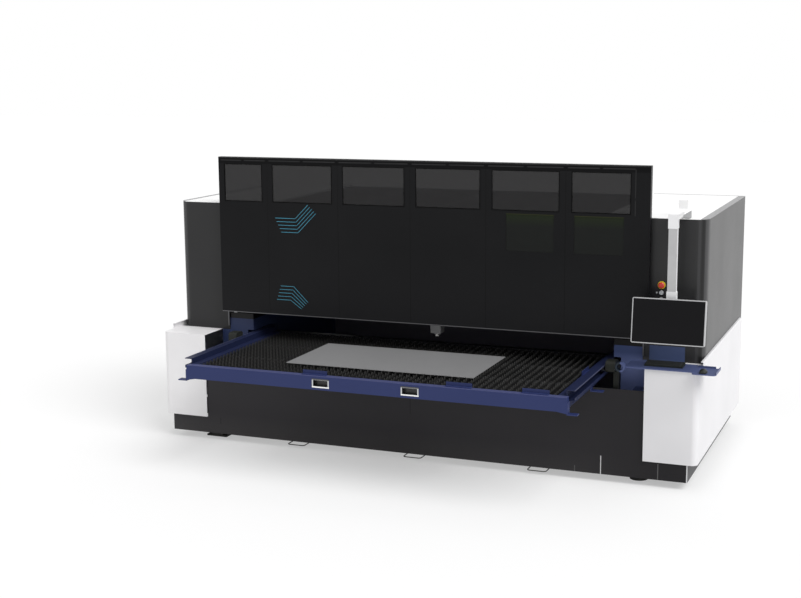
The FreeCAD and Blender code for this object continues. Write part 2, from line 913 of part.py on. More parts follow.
def door_shoes():
    """Four guide shoes on the door, each beside its rail."""
    pieces = []
    wide = "lift_shoe_wide"
    for across in both_ends(f"{RAIL_ACROSS} - clearance - {wide}", wide):
        for up in ("door_bottom + door_rim", "door_bottom + door_rim + 4 * lift_block"):
            size = (wide, f"case_front - {DOOR_BACK} - clearance", "lift_block")
            pieces.append(block(size, (across, DOOR_BACK, up)))
    return node("door_shoes", group(*pieces))


door_shoes()


# ---------------------------------------------------------------- pull-out table

TABLE_LONG = "(bed_length - 2 * table_left)"
TABLE_BACK = "(table_depth - table_front)"
INNER_FRONT = "(tube_wide - table_front)"
INNER_DEEP = "(table_depth - 2 * tube_wide)"
WEB_LEFT = "(table_left + channel_web)"
SLAT_LEFT = "(bed_length / 2 - (slat_count - 1) * slat_pitch / 2 - slat_thick / 2)"
INSIDE_LEFT = f"({WEB_LEFT} + tube_wide)"
INSIDE_LONG = f"(bed_length - 2 * {INSIDE_LEFT})"


def box_tube(size, axis):
    """A box tube with open ends along an axis."""
    wall = "tube_wall"
    inner = []
    low = []
    for key, text in zip("xyz", size):
        inner.append(text if key == axis else f"({text}) - 2 * {wall}")
        low.append("0" if key == axis else wall)
    inner[("xyz").index(axis)] += " + 2 * clearance"
    low[("xyz").index(axis)] = "- clearance"
    return cut(block(size), block(inner, low))


def handle_places():
    return ("handle_first", "handle_second")


def table_front_beam():
    """The front tube, opened in two places for the recessed pulls, with capped ends."""
    long = TABLE_LONG
    wall = "tube_wall"
    blank = block((long, "tube_wide", "tube_high"))
    bore = block((f"{long} - 2 * {wall}", f"tube_wide - 2 * {wall}", f"tube_high - 2 * {wall}"), (wall, wall, wall))
    tools = [bore]
    for place in handle_places():
        low = (f"{place} - handle_long / 2 + handle_rim - table_left", "- clearance",
               "(tube_high - handle_high) / 2 + handle_rim")
        tools.append(block(("handle_long - 2 * handle_rim", f"{wall} + 2 * clearance",
                            "handle_high - 2 * handle_rim"), low))
    return node("table_front_beam", cut(blank, *tools), "table_left", "- table_front", "tube_low")


table_front_beam()


def table_side_tubes():
    """The rear tube and the two side tubes of the table's welded frame."""
    rear = box_tube((f"bed_length - 2 * {WEB_LEFT}", "tube_wide", "tube_high"), "x")
    put(rear, WEB_LEFT, f"{TABLE_BACK} - tube_wide", "tube_low")
    pieces = [rear]
    for across in both_ends(WEB_LEFT, "tube_wide"):
        side_tube = box_tube(("tube_wide", INNER_DEEP, "tube_high"), "y")
        pieces.append(put(side_tube, across, INNER_FRONT, "tube_low"))
    return node("table_side_tubes", group(*pieces))


table_side_tubes()


def table_channels():
    """The lipped channels that ride on the rollers, open towards the outside."""
    thick = "channel_sheet"
    points = [
        ("channel_flange", "0"),
        ("channel_flange", "channel_lip"),
        (f"channel_flange - {thick}", "channel_lip"),
        (f"channel_flange - {thick}", thick),
        (thick, thick),
        (thick, f"channel_high - {thick}"),
        (f"channel_flange - {thick}", f"channel_high - {thick}"),
        ("channel_flange", f"channel_high - {thick}"),
        ("channel_flange", "channel_high"),
        ("0", "channel_high"),
        ("0", "0"),
    ]
    long = "(table_depth - tube_wide)"
    left = put(prism("XZ", long, flipped(points, "channel_flange")), FLANGE_OUT, INNER_FRONT, "channel_low")
    right = put(prism("XZ", long, points), opposite(WEB_LEFT), INNER_FRONT, "channel_low")
    return node("table_channels", group(left, right))


FLANGE_OUT = f"({WEB_LEFT} - channel_flange)"
table_channels()

BAY_DEEP = f"(({INNER_DEEP} - 2 * cross_wide) / 3)"
RIB_PLACES = (16.5, 33.5)


def cross_beam_backs():
    """How far each of the two long cross beams lies behind the front tube."""
    return [BAY_DEEP, f"(2 * {BAY_DEEP} + cross_wide)"]


def table_cross_members():
    """Two long cross beams and the six short ribs that divide the slats into fields."""
    pieces = []
    for back in cross_beam_backs():
        size = (INSIDE_LONG, "cross_wide", "cross_top - tube_low")
        pieces.append(block(size, (INSIDE_LEFT, f"{INNER_FRONT} + {back}", "tube_low")))
    for place in RIB_PLACES:
        across = f"{SLAT_LEFT} + {place} * slat_pitch + (slat_thick - rib_thick) / 2"
        for back in ("0", f"{BAY_DEEP} + cross_wide", f"2 * ({BAY_DEEP} + cross_wide)"):
            size = ("rib_thick", BAY_DEEP, "rib_top - tube_low")
            pieces.append(block(size, (across, f"{INNER_FRONT} + {back}", "tube_low")))
    return node("table_cross_members", group(*pieces))


table_cross_members()


def slat_combs():
    """Slotted strips along the front and rear tubes, which hold every slat upright."""
    ribs = [number(f"{SLAT_LEFT} + {place} * slat_pitch + slat_thick / 2") for place in RIB_PLACES]
    left = number(INSIDE_LEFT)
    right = left + number(INSIDE_LONG)
    half_rib = number("rib_thick / 2")
    gap = number("clearance")
    low = number("comb_low")
    top = number("comb_top")
    seat = number("comb_seat")
    half_slot = number("slat_thick / 2 + slot_gap")
    first = number(f"{SLAT_LEFT} + slat_thick / 2")
    centres = [first + index * number("slat_pitch") for index in range(int(number("slat_count")))]
    limits = [left] + [x for rib in ribs for x in (rib - half_rib, rib + half_rib)] + [right]
    thick = number("comb_thick")
    strips = []
    for start, stop in zip(limits[0::2], limits[1::2]):
        corners = [(start + gap, low), (start + gap, top)]
        for centre in centres:
            if start + gap < centre - half_slot and centre + half_slot < stop - gap:
                corners += [(centre - half_slot, top), (centre - half_slot, seat)]
                corners += [(centre + half_slot, seat), (centre + half_slot, top)]
        corners += [(stop - gap, top), (stop - gap, low)]
        for back in (0.0, number(f"{INNER_DEEP} - comb_thick")):
            wire = Part.makePolygon([FreeCAD.Vector(x, back, z) for x, z in corners + corners[:1]])
            strips.append(Part.Face(wire).extrude(FreeCAD.Vector(0, thick, 0)))
    combs = doc.addObject("Part::Feature", "combs")
    combs.Shape = Part.makeCompound(strips)
    return node("slat_combs", combs, "0", INNER_FRONT, "0")


slat_combs()


def slat_profile():
    """One slat seen from the side: stepped ends, notches over the cross beams, toothed top."""
    long = number(f"{INNER_DEEP} - 2 * clearance")
    low = number("slat_low")
    seat = number("comb_seat")
    step = number("comb_thick + notch_gap")
    bridge = number("cross_top + clearance")
    tip = number("slat_tip")
    root = tip - number("tooth_deep")
    corners = [(0, seat), (step, seat), (step, low)]
    for back in cross_beam_backs():
        start = number(f"{back} - clearance - notch_gap")
        stop = start + number("cross_wide + 2 * notch_gap")
        corners += [(start, low), (start, bridge), (stop, bridge), (stop, low)]
    corners += [(long - step, low), (long - step, seat), (long, seat)]
    teeth = int(number("slat_teeth"))
    pitch = long / teeth
    for index in range(teeth, 0, -1):
        corners += [(index * pitch, root), ((index - 0.5) * pitch, tip)]
    corners.append((0, root))
    return corners


def slats():
    """The row of toothed slats on which the work lies."""
    points = [FreeCAD.Vector(0, back, up) for back, up in slat_profile()]
    face = Part.Face(Part.makePolygon(points + points[:1]))
    slat = face.extrude(FreeCAD.Vector(number("slat_thick"), 0, 0))
    row = []
    for index in range(int(number("slat_count"))):
        row.append(slat.translated(FreeCAD.Vector(index * number("slat_pitch"), 0, 0)))
    made = doc.addObject("Part::Feature", "slats")
    made.Shape = Part.makeCompound(row)
    return node("slats", made, SLAT_LEFT, f"{INNER_FRONT} + clearance", "0")


slats()


def angle(length, leg_wide, leg_high, thick):
    """A short angle along X with its upright leg at the back."""
    points = [("0", "0"), (leg_wide, "0"), (leg_wide, leg_high), (f"{leg_wide} - {thick}", leg_high),
              (f"{leg_wide} - {thick}", thick), ("0", thick)]
    return prism("YZ", length, points)


TUBE_TOP = "(tube_low + tube_high)"


def sheet_clips():
    """Four angle clips that stop the sheet: three on the front tube, one on the right side tube."""
    pieces = []
    for across in ("clip_first", "clip_second", "clip_third"):
        clip = angle("clip_long", "clip_wide", "clip_high", "clip_sheet")
        pieces.append(put(clip, across, "tube_wide - table_front - clip_wide", TUBE_TOP))
    side_points = [("0", "0"), ("clip_wide", "0"), ("clip_wide", "clip_sheet"), ("clip_sheet", "clip_sheet"),
                   ("clip_sheet", "clip_high"), ("0", "clip_high")]
    side_clip = prism("XZ", "clip_long", side_points)
    pieces.append(put(side_clip, opposite(WEB_LEFT, "tube_wide"), "- clip_long", TUBE_TOP))
    return node("sheet_clips", group(*pieces))


sheet_clips()


def table_handles():
    """Recessed pulls: a thin frame in front of the tube and a cup behind it."""
    pieces = []
    for place in handle_places():
        plate = block(("handle_long", "handle_proud", "handle_high"), ("0", "- handle_proud", "0"))
        inner_long = "(handle_long - 2 * handle_rim - 2 * clearance)"
        inner_high = "(handle_high - 2 * handle_rim - 2 * clearance)"
        rim = "(handle_rim + clearance)"
        cup = block((inner_long, "handle_deep", inner_high), (rim, "0", rim))
        wall = "handle_wall"
        hollow = block((f"{inner_long} - 2 * {wall}", "handle_deep + handle_proud", f"{inner_high} - 2 * {wall}"),
                       (f"{rim} + {wall}", f"- handle_proud - {wall}", f"{rim} + {wall}"))
        pull = cut(fuse(plate, cup), hollow)
        low = (f"{place} - handle_long / 2", "- table_front", "tube_low + (tube_high - handle_high) / 2")
        pieces.append(put(pull, *low))
    return node("table_handles", group(*pieces))


table_handles()


def table_tabs():
    """Six lifting tabs: an upright plate on the frame with a foot that points outwards."""
    pieces = []
    thick = "tab_thick"
    for side in (LEFT, RIGHT):
        backs = ("- table_front", "- table_front + (table_depth - tab_long) / 2", f"{TABLE_BACK} - tab_long")
        for index, back in enumerate(backs):
            corner = index == 0
            reach = "tab_reach" if corner else "(tab_reach + channel_web)"
            high = "(channel_low - clearance - tab_low)"
            points = [("0", "0"), (reach, "0"), (reach, thick), (thick, thick), (thick, high), ("0", high)]
            base = "table_left" if corner else WEB_LEFT
            if side == LEFT:
                points = flipped(points, reach)
                across = f"{base} - {reach}"
            else:
                across = opposite(base)
            tab = put(prism("XZ", "tab_long", points), across, back, "tab_low")
            if corner:
                rise = "(tube_low - tab_low)"
                brace = [("0", thick), ("brace_long", rise), ("0", rise)]
                if side == RIGHT:
                    brace = flipped(brace, "brace_long")
                brace_across = base if side == LEFT else opposite(base, "brace_long")
                tab = fuse(tab, put(prism("XZ", thick, brace), brace_across, back, "tab_low"))
            pieces.append(tab)
    return node("table_tabs", group(*pieces))


table_tabs()


def workpiece():
    """The plain sheet that lies on the slats."""
    return node("workpiece_sheet", block(("sheet_long", "sheet_wide", "sheet_thick")),
                "sheet_left", "- sheet_front", "slat_tip")


workpiece()


# ---------------------------------------------------------------- rollers and shoes for the table

ROLLER_UP = "(channel_low + channel_high - channel_sheet - clearance - roller_radius)"
ROLLER_OUT = f"({FLANGE_OUT} + channel_sheet + roller_side)"
HOLDER_OUT = f"({FLANGE_OUT} - holder_gap - holder_wide)"
POST_OUT = f"({HOLDER_OUT} - post_shift)"
BEAM_TOP = "(beam_low + beam_high)"


def guide_posts():
    """A post at each side of the mouth: rounded holder on top, with the roller's axle."""
    pieces = []
    axle_left = f"({HOLDER_OUT} + holder_wide)"
    axle_long = f"({ROLLER_OUT} + roller_wide - {axle_left})"
    for side in (LEFT, RIGHT):
        post_across = POST_OUT if side == LEFT else opposite(POST_OUT, "post_wide")
        post = block(("post_wide", "post_thick", f"holder_low - {BEAM_TOP}"), (post_across, "post_back", BEAM_TOP))
        lap = "(holder_wide + post_shift)"
        root = block(("post_wide", "post_thick", "holder_high / 2"), (post_across, "post_back", "holder_low"))
        corners = [("x", (a, b), "holder_corner") for a in ("0", "holder_long") for b in ("0", "holder_high")]
        holder = rounded(prism("YZ", "holder_wide", rectangle("0", "0", "holder_long", "holder_high")), *corners)
        holder_across = HOLDER_OUT if side == LEFT else opposite(HOLDER_OUT, "holder_wide")
        put(holder, holder_across, "holder_front", "holder_low")
        axle_across = axle_left if side == LEFT else opposite(axle_left, axle_long)
        axle = rod("axle_radius", axle_long, (axle_across, "roller_back", ROLLER_UP), "x")
        pieces.append(fuse(post, root, holder, axle))
    return node("guide_posts", group(*pieces))


guide_posts()


def roller(side):
    """A flat-faced roller that carries the channel's upper flange."""
    wheel = rod("roller_radius", "roller_wide", ("0", "0", "0"), "x")
    bore = rod("axle_radius + clearance / 10", "roller_wide + 2 * clearance", ("- clearance", "0", "0"), "x")
    across = ROLLER_OUT if side == LEFT else opposite(ROLLER_OUT, "roller_wide")
    return node(f"table_roller_{side}", cut(wheel, bore), across, "roller_back", ROLLER_UP)


for side in (LEFT, RIGHT):
    roller(side)


def slide_shoes():
    """Fixed shoes on the girders, on which the rear half of the channel slides."""
    pieces = []
    girder_face = "(girder_outer + girder_width)"
    inner = "(channel_high - 2 * channel_sheet)"
    for side in (LEFT, RIGHT):
        for back in (f"({TABLE_BACK} - shoe_inset)", f"({TABLE_BACK} - shoe_inset + shoe_pitch)"):
            shoe_out = f"({FLANGE_OUT} + channel_sheet + roller_side)"
            shoe_wide = "(channel_flange - 2 * channel_sheet - 2 * roller_side)"
            neck_low = "(channel_low + channel_lip + roller_side)"
            neck_high = "(channel_high - channel_lip - channel_sheet - 2 * roller_side)"
            neck_wide = f"({shoe_out} - {girder_face})"
            shoe_across = shoe_out if side == LEFT else opposite(shoe_out, shoe_wide)
            neck_across = girder_face if side == LEFT else opposite(girder_face, neck_wide)
            shoe = block((shoe_wide, "shoe_long", f"{inner} - 2 * clearance"),
                         (shoe_across, back, "channel_low + channel_sheet + clearance"))
            neck = block((neck_wide, "shoe_long", neck_high), (neck_across, back, neck_low))
            pieces.append(fuse(shoe, neck))
    return node("slide_shoes", group(*pieces))


slide_shoes()


# ---------------------------------------------------------------- gantry, carriage and cutting head

GUIDE_LEFT = "(guide_place - guide_wide / 2)"


def gantry_guides():
    """Linear rails on the girders, on which the gantry runs from front to back."""
    pieces = []
    for across in both_ends(GUIDE_LEFT, "guide_wide"):
        size = ("guide_wide", f"{GIRDER_LONG} - 2 * girder_wall", "guide_high")
        pieces.append(block(size, (across, f"{GIRDER_FRONT} + girder_wall", "girder_top")))
    return node("gantry_guides", group(*pieces))


gantry_guides()
SADDLE_LOW = "(girder_top + saddle_gap)"
SADDLE_TOP = f"({SADDLE_LOW} + saddle_high)"


def gantry_saddles():
    """Grooved saddles that ride on the linear rails and carry the gantry beam."""
    pieces = []
    for across in both_ends("guide_place - saddle_wide / 2", "saddle_wide"):
        groove_wide = "(guide_wide + 2 * clearance)"
        section = [
            ("0", "0"),
            (f"(saddle_wide - {groove_wide}) / 2", "0"),
            (f"(saddle_wide - {groove_wide}) / 2", f"girder_top + guide_high + clearance - {SADDLE_LOW}"),
            (f"(saddle_wide + {groove_wide}) / 2", f"girder_top + guide_high + clearance - {SADDLE_LOW}"),
            (f"(saddle_wide + {groove_wide}) / 2", "0"),
            ("saddle_wide", "0"),
            ("saddle_wide", "saddle_high"),
            ("0", "saddle_high"),
        ]
        pieces.append(put(prism("XZ", "saddle_long", section), across, "saddle_back", SADDLE_LOW))
    return node("gantry_saddles", group(*pieces))


gantry_saddles()
GANTRY_LONG = "(bed_length - 2 * gantry_inset)"


def gantry_beam():
    """The welded box beam that spans the table."""
    wall = "gantry_wall"
    blank = block((GANTRY_LONG, "gantry_thick", "gantry_high"))
    bore = block((f"{GANTRY_LONG} - 2 * {wall}", f"gantry_thick - 2 * {wall}", f"gantry_high - 2 * {wall}"),
                 (wall, wall, wall))
    return node("gantry_beam", cut(blank, bore), "gantry_inset", "gantry_back", SADDLE_TOP)


gantry_beam()
TRACK_FRONT = "(gantry_back - track_deep)"


def track_lows():
    return [f"({SADDLE_TOP} + track_low)", f"({SADDLE_TOP} + track_low + track_pitch)"]


def beam_tracks():
    """Two linear rails along the front of the beam."""
    pieces = []
    for low in track_lows():
        size = (f"{GANTRY_LONG} - 4 * track_high", "track_deep", "track_high")
        pieces.append(block(size, ("gantry_inset + 2 * track_high", TRACK_FRONT, low)))
    return node("beam_tracks", group(*pieces))


beam_tracks()
BEARING_FRONT = "(gantry_back - clearance * 10 - bearing_deep)"
PLATE_FRONT = f"({BEARING_FRONT} - plate_thick)"
PLATE_LOW = f"({SADDLE_TOP} + plate_gap)"
SCREW_FRONT = f"({PLATE_FRONT} - screw_rail)"


def carriage():
    """The carriage plate with four grooved bearings behind and two upright rails in front."""
    left = "(head_across - plate_wide / 2)"
    pieces = [block(("plate_wide", "plate_thick", "plate_high"), (left, PLATE_FRONT, PLATE_LOW))]
    grooves = []
    for low in track_lows():
        for across in (left, f"({left} + plate_wide - bearing_wide)"):
            bearing_low = f"({low} + (track_high - bearing_high) / 2)"
            pieces.append(block(("bearing_wide", "bearing_deep", "bearing_high"), (across, BEARING_FRONT, bearing_low)))
        size = ("plate_wide + 2 * clearance", "track_deep + clearance * 2", "track_high + 2 * clearance")
        grooves.append(block(size, (f"{left} - clearance", f"{TRACK_FRONT} - clearance", f"{low} - clearance")))
    for place in ("- screw_pitch / 2", "+ screw_pitch / 2"):
        across = f"head_across {place} - screw_rail / 2"
        pieces.append(block(("screw_rail", "screw_rail", "plate_high"), (across, SCREW_FRONT, PLATE_LOW)))
    return node("carriage", cut(fuse(*pieces), *grooves))


carriage()


def lift_motor():
    """The motor on top of the carriage that raises the head."""
    across = "(head_across - motor_wide / 2)"
    casing_block = block(("motor_wide", "motor_thick", "motor_high"), (across, f"{PLATE_FRONT} - motor_thick / 2",
                                                                      f"{PLATE_LOW} + plate_high"))
    cap = rod("motor_wide / 2 - 6", "motor_high / 4", ("head_across", PLATE_FRONT,
                                                       f"{PLATE_LOW} + plate_high + motor_high"), "z")
    return node("lift_motor", fuse(casing_block, cap))


lift_motor()


def cutting_head():
    """Grooved slide, square body, lower cone and the connector on top, bolted up as one."""
    body_left = "(head_across - head_wide / 2)"
    body = block(("head_wide", "head_wide", "head_high"), (body_left, "head_back - head_wide / 2", "head_low"))
    slide_front = "(head_back + head_wide / 2)"
    slide_deep = f"({PLATE_FRONT} - clearance * 10 - {slide_front})"
    slide = block(("slide_wide", slide_deep, "slide_high"), ("head_across - slide_wide / 2", slide_front, "slide_low"))
    grooves = []
    for place in ("- screw_pitch / 2", "+ screw_pitch / 2"):
        across = f"head_across {place} - screw_rail / 2 - clearance"
        size = ("screw_rail + 2 * clearance", "screw_rail + clearance", "slide_high + 2 * clearance")
        grooves.append(block(size, (across, f"{SCREW_FRONT} - clearance", "slide_low - clearance")))
    neck = cone("head_wide * 0.28", "head_wide * 0.45", "cone_high", ("head_across", "head_back", "head_low - cone_high"))
    plug = rod("head_wide * 0.27", "cone_high", ("head_across", "head_back", "head_low + head_high"), "z")
    return node("cutting_head", cut(fuse(body, slide, neck, plug), *grooves))


cutting_head()


def nozzle():
    """The screwed tip: a collar, a cone and the bore the beam comes out of."""
    top = "(head_low - cone_high)"
    tip_long = f"(({top} - tip_height) * 0.65)"
    tip = cone("tip_radius", "head_wide * 0.2", tip_long, ("0", "0", "0"))
    collar = rod("head_wide * 0.2", f"{top} - tip_height - {tip_long}", ("0", "0", tip_long), "z")
    bore = rod("tip_radius / 4", f"{top} - tip_height + 2 * clearance", ("0", "0", "- clearance"), "z")
    return node("nozzle", cut(fuse(tip, collar), bore), "head_across", "head_back", "tip_height")


nozzle()


# ---------------------------------------------------------------- slag trays

RUNNER_WIDE = "(tray_pitch - tray_wide)"


def tray_runners():
    """Grooved runners under the bed, between which the slag trays slide."""
    pieces = []
    low = "tray_low"
    high = "(floor_gap - tray_low)"
    groove_low = "(lip_low - tray_low - clearance)"
    groove_high = "(lip_low - tray_low + lip_thick + clearance)"
    cove = "(tray_lip + 2 * clearance)"
    wide = f"({RUNNER_WIDE} - 2 * clearance)"
    section = [
        ("0", "0"), (wide, "0"), (wide, groove_low), (f"{wide} - {cove}", groove_low),
        (f"{wide} - {cove}", groove_high), (wide, groove_high), (wide, high), ("0", high),
        ("0", groove_high), (cove, groove_high), (cove, groove_low), ("0", groove_low),
    ]
    for index in range(4):
        across = f"bed_length / 2 + {index - 1.5} * tray_pitch - {wide} / 2"
        length = "(bed_depth - 2 * skirt_sheet - tray_front)"
        pieces.append(put(prism("XZ", length, section), across, "tray_front", low))
    return node("tray_runners", group(*pieces))


tray_runners()


def wire_pull():
    """A bent wire loop in front of a tray: two arms, two quarter bends and a bar."""
    half = "(pull_wide / 2)"
    arm = "(pull_reach - pull_bend)"
    pieces = []
    for sign, turn in (("-", 180), ("", -90)):
        pieces.append(rod("pull_wire", f"{arm} + 2", (f"{sign}{half}", f"- {arm}", "0"), "y"))
        bend = doc.addObject("Part::Torus", "bend")
        bind(bend, "Radius1", "pull_bend")
        bind(bend, "Radius2", "pull_wire")
        bend.Angle3 = 90
        bend.Placement = FreeCAD.Placement(FreeCAD.Vector(), FreeCAD.Rotation(AXES["z"], turn))
        inward = f"- {half} + pull_bend" if sign else f"{half} - pull_bend"
        pieces.append(put(bend, inward, f"- {arm}", "0"))
    pieces.append(rod("pull_wire", "pull_wide - 2 * pull_bend", (f"- {half} + pull_bend", "- pull_reach", "0"), "x"))
    return pieces


def slag_tray(name, index):
    """A shallow pan with side lips and a wire pull."""
    half = "(tray_wide / 2)"
    wall = "tray_sheet"
    blank = block(("tray_wide", "tray_deep", "tray_high"), (f"- {half}", "0", "tray_low"))
    hollow = block((f"tray_wide - 2 * {wall}", f"tray_deep - 2 * {wall}", "tray_high"),
                   (f"- {half} + {wall}", wall, f"tray_low + {wall}"))
    pan = cut(blank, hollow)
    lips = []
    for across in (f"- {half} - tray_lip", half):
        lips.append(block(("tray_lip", "tray_deep", "lip_thick"), (across, "0", "lip_low")))
    wires = []
    for wire in wire_pull():
        current = wire.Placement.Rotation
        bind(wire, "Placement.Base.z", "lip_low")
        wire.Placement.Rotation = current
        wires.append(wire)
    return node(name, fuse(pan, *lips, *wires), f"bed_length / 2 + ({index}) * tray_pitch", "tray_front")


for name, index in (("slag_tray_left", -1), ("slag_tray_middle", 0), ("slag_tray_right", 1)):
    slag_tray(name, index)


# ---------------------------------------------------------------- operator's console

SHELF_LONG = "(shelf_right - shelf_left)"


def console_shelf():
    """One folded sheet: keyboard shelf, cable ring at its left end and the mouse tray at its right."""
    thick = "shelf_thick"
    deep = "(shelf_front + shelf_back)"
    shelf = block((SHELF_LONG, deep, thick))
    tray_deep = "(mouse_front + mouse_back)"
    tray_low = (SHELF_LONG, "shelf_front - mouse_front", "0")
    tray = rounded(prism("XY", thick, rectangle("0", "0", "mouse_wide", tray_deep)),
                   ("z", ("0", "0"), "pad_corner"), ("z", ("mouse_wide", "0"), "pad_corner"))
    put(tray, *tray_low)
    lip_long = "(mouse_wide - 2 * pad_corner)"
    lip = block((lip_long, f"{thick} / 2", "flap_rise"),
                (f"{SHELF_LONG} + pad_corner / 2", f"shelf_front - mouse_front + {tray_deep} - {thick} / 2", thick))
    flap = block(("flap_wide", f"{tray_deep} - pad_corner", f"{thick} + flap_rise"),
                 (f"{SHELF_LONG} + mouse_wide", "shelf_front - mouse_front + pad_corner", "0"))
    ring_across = "(shelf_thick - ring_radius)"
    ring_back = "(- ring_long / 2)"
    ring = rod("ring_radius", "ring_long", (ring_across, ring_back, "shelf_thick / 2"), "y")
    bore = rod("ring_bore", "ring_long + 2 * clearance", (ring_across, f"{ring_back} - clearance", "shelf_thick / 2"), "y")
    body = cut(fuse(shelf, tray, lip, flap, ring), bore)
    return node("console_shelf", body, "shelf_left", "- shelf_front", "deck_height")


console_shelf()


def keyboard():
    """A wedge-shaped keyboard."""
    points = [("0", "0"), ("keys_deep", "0"), ("keys_deep", "keys_high"), ("0", "keys_low")]
    return node("keyboard", prism("YZ", "keys_long", points), "keys_left", "keys_front", "deck_height + shelf_thick")


keyboard()


def mouse():
    """A pointing device: a low block with a sloping back and rounded corners."""
    profile = [("0", "0"), ("mouse_long", "0"), ("mouse_long", "mouse_nose"), ("mouse_long * 0.55", "mouse_high"),
               ("mouse_long * 0.3", "mouse_high"), ("0", "mouse_nose")]
    shell = prism("YZ", "2 * mouse_half", profile)
    corners = [("z", (a, b), "mouse_half * 0.6") for a in ("0", "2 * mouse_half") for b in ("0", "mouse_long")]
    return node("mouse", rounded(shell, *corners), "shelf_right + mouse_place - mouse_half",
                "- mouse_half - mouse_long / 2", "deck_height + shelf_thick")


mouse()


def service_plate():
    """The blue inset plate on the fascia behind the keyboard."""
    size = ("plate_long", "case_sheet", "badge_high")
    return node("service_plate", block(size), "plate_left", "case_front - case_sheet", "badge_low")


service_plate()


# ---------------------------------------------------------------- screen on its swinging arm

def arm_pivot():
    """The flange on the roof, with the pin that the arm turns on."""
    flange = rod("base_radius", "base_thick", ("0", "0", "0"), "z")
    pin = rod("pin_radius", "arm_low + arm_high - roof_top", ("0", "0", "0"), "z")
    return node("arm_pivot", fuse(flange, pin), "pivot_across", "pivot_back", "roof_top")


arm_pivot()
ARM_LONG = "(pivot_back - mast_back - mast_deep / 2)"
HUB_LOW = "(roof_top + base_thick + clearance)"
MAST_TOP = "(arm_low + arm_high)"


def swing_arm():
    """The arm that turns: square hub on the pin, bar to the front, and a sloping gusset between them."""
    half = "(column_wide / 2)"
    hub = block(("column_wide", "column_wide", f"column_top - {HUB_LOW}"), (f"- {half}", f"- {half}", HUB_LOW))
    bar_long = f"({ARM_LONG} - mast_deep / 2)"
    bar = block(("column_wide", bar_long, "arm_high"), (f"- {half}", f"- {bar_long}", "arm_low"))
    slope = [("0", "0"), ("gusset_long", "0"), ("gusset_long", "gusset_high"), ("0", "gusset_high / 2")]
    gusset = put(prism("YZ", "gusset_wide", slope), "0", f"- {half} - gusset_long", "arm_low")
    bore = rod("pin_radius + clearance / 10", f"arm_low + arm_high + clearance - {HUB_LOW} + clearance",
               ("0", "0", f"{HUB_LOW} - clearance"), "z")
    return node("swing_arm", cut(fuse(hub, bar, gusset), bore), "pivot_across", "pivot_back")


swing_arm()


def arm_mast():
    """The upright housing between two caps, with a channel for the light and the screen's hinge fork."""
    long = f"({MAST_TOP} - mast_low)"
    slim = "(mast_wide - 2 * cap_proud)"
    tube = block((slim, "mast_deep", long), ("cap_proud", "0", "0"))
    foot = block(("mast_wide", "mast_deep", "mast_foot"))
    head = block(("mast_wide", "mast_deep", "mast_head + cap_proud"), ("0", "0", f"{long} - mast_head - cap_proud"))
    groove_low = "(mast_foot)"
    groove_high = f"({long} - mast_head - cap_proud - mast_foot)"
    groove = block((f"{slim} + 2 * clearance", "light_deep + clearance", groove_high),
                   ("cap_proud - clearance", "- clearance", groove_low))
    drop = "(mast_low - screen_centre + hinge_radius)"
    tongue = block(("hinge_long", "mast_deep / 2", drop), ("(mast_wide - hinge_long) / 2", "mast_deep / 2", f"- {drop}"))
    fork = []
    for place in ("0", "hinge_long - fork_thick"):
        across = f"(mast_wide - hinge_long) / 2 + {place}"
        arm_deep = f"(mast_deep / 2 + hinge_offset)"
        cheek = block(("fork_thick", arm_deep, "2 * hinge_radius"), (across, "- hinge_offset", f"- {drop}"))
        eye = rod("hinge_radius", "fork_thick", (across, "- hinge_offset", f"hinge_radius - {drop}"), "x")
        fork += [cheek, eye]
    pin = rod("hinge_radius / 3", "hinge_long", ("(mast_wide - hinge_long) / 2", "- hinge_offset", f"hinge_radius - {drop}"), "x")
    body = fuse(cut(fuse(tube, foot, head), groove), tongue, *fork, pin)
    return node("arm_mast", body, "pivot_across - mast_wide / 2", "mast_back", "mast_low")


arm_mast()


def status_light():
    """The light strip that fills the mast's channel."""
    long = f"({MAST_TOP} - mast_low - mast_head - cap_proud - mast_foot - 2 * clearance)"
    size = ("mast_wide - 2 * cap_proud", "light_deep", long)
    across = "pivot_across - mast_wide / 2 + cap_proud"
    return node("status_light", block(size), across, "mast_back", "mast_low + mast_foot + clearance")


status_light()


def screen_piece(name, thing):
    """Sets a piece of the screen at the tilt hinge, leaning back by the screen's tilt."""
    node(name, thing, "pivot_across", "mast_back - hinge_offset", "screen_centre")
    thing.Placement.Rotation = FreeCAD.Rotation(AXES["x"], -number("screen_tilt"))
    return thing


SCREEN_FACE = "(- screen_gap - screen_thick)"


def screen_housing():
    """Shallow housing with a thin raised bezel, and the hinge lug behind it."""
    half_wide = "(screen_wide / 2)"
    half_high = "(screen_high / 2)"
    corners = [("y", (a, b), "screen_corner") for a in ("0", "screen_wide") for b in ("0", "screen_high")]
    plan = rectangle("0", "0", "screen_wide", "screen_high")
    shell = rounded(prism("XZ", "screen_thick", plan), *corners)
    put(shell, f"- {half_wide}", SCREEN_FACE, f"- {half_high}")
    recess = block(("screen_wide - 2 * bezel", "pane_deep + clearance", "screen_high - 2 * bezel"),
                   (f"bezel - {half_wide}", f"{SCREEN_FACE} - clearance", f"bezel - {half_high}"))
    lug_wide = "(hinge_long - 2 * fork_thick - 2 * clearance)"
    lug = block((lug_wide, "screen_gap", "2 * hinge_radius"), (f"- {lug_wide} / 2", "- screen_gap", "- hinge_radius"))
    eye = rod("hinge_radius", lug_wide, (f"- {lug_wide} / 2", "0", "0"), "x")
    bore = rod("hinge_radius / 3 + clearance / 10", f"{lug_wide} + 2 * clearance", (f"- {lug_wide} / 2 - clearance", "0", "0"), "x")
    return cut(fuse(cut(shell, recess), lug, eye), bore)


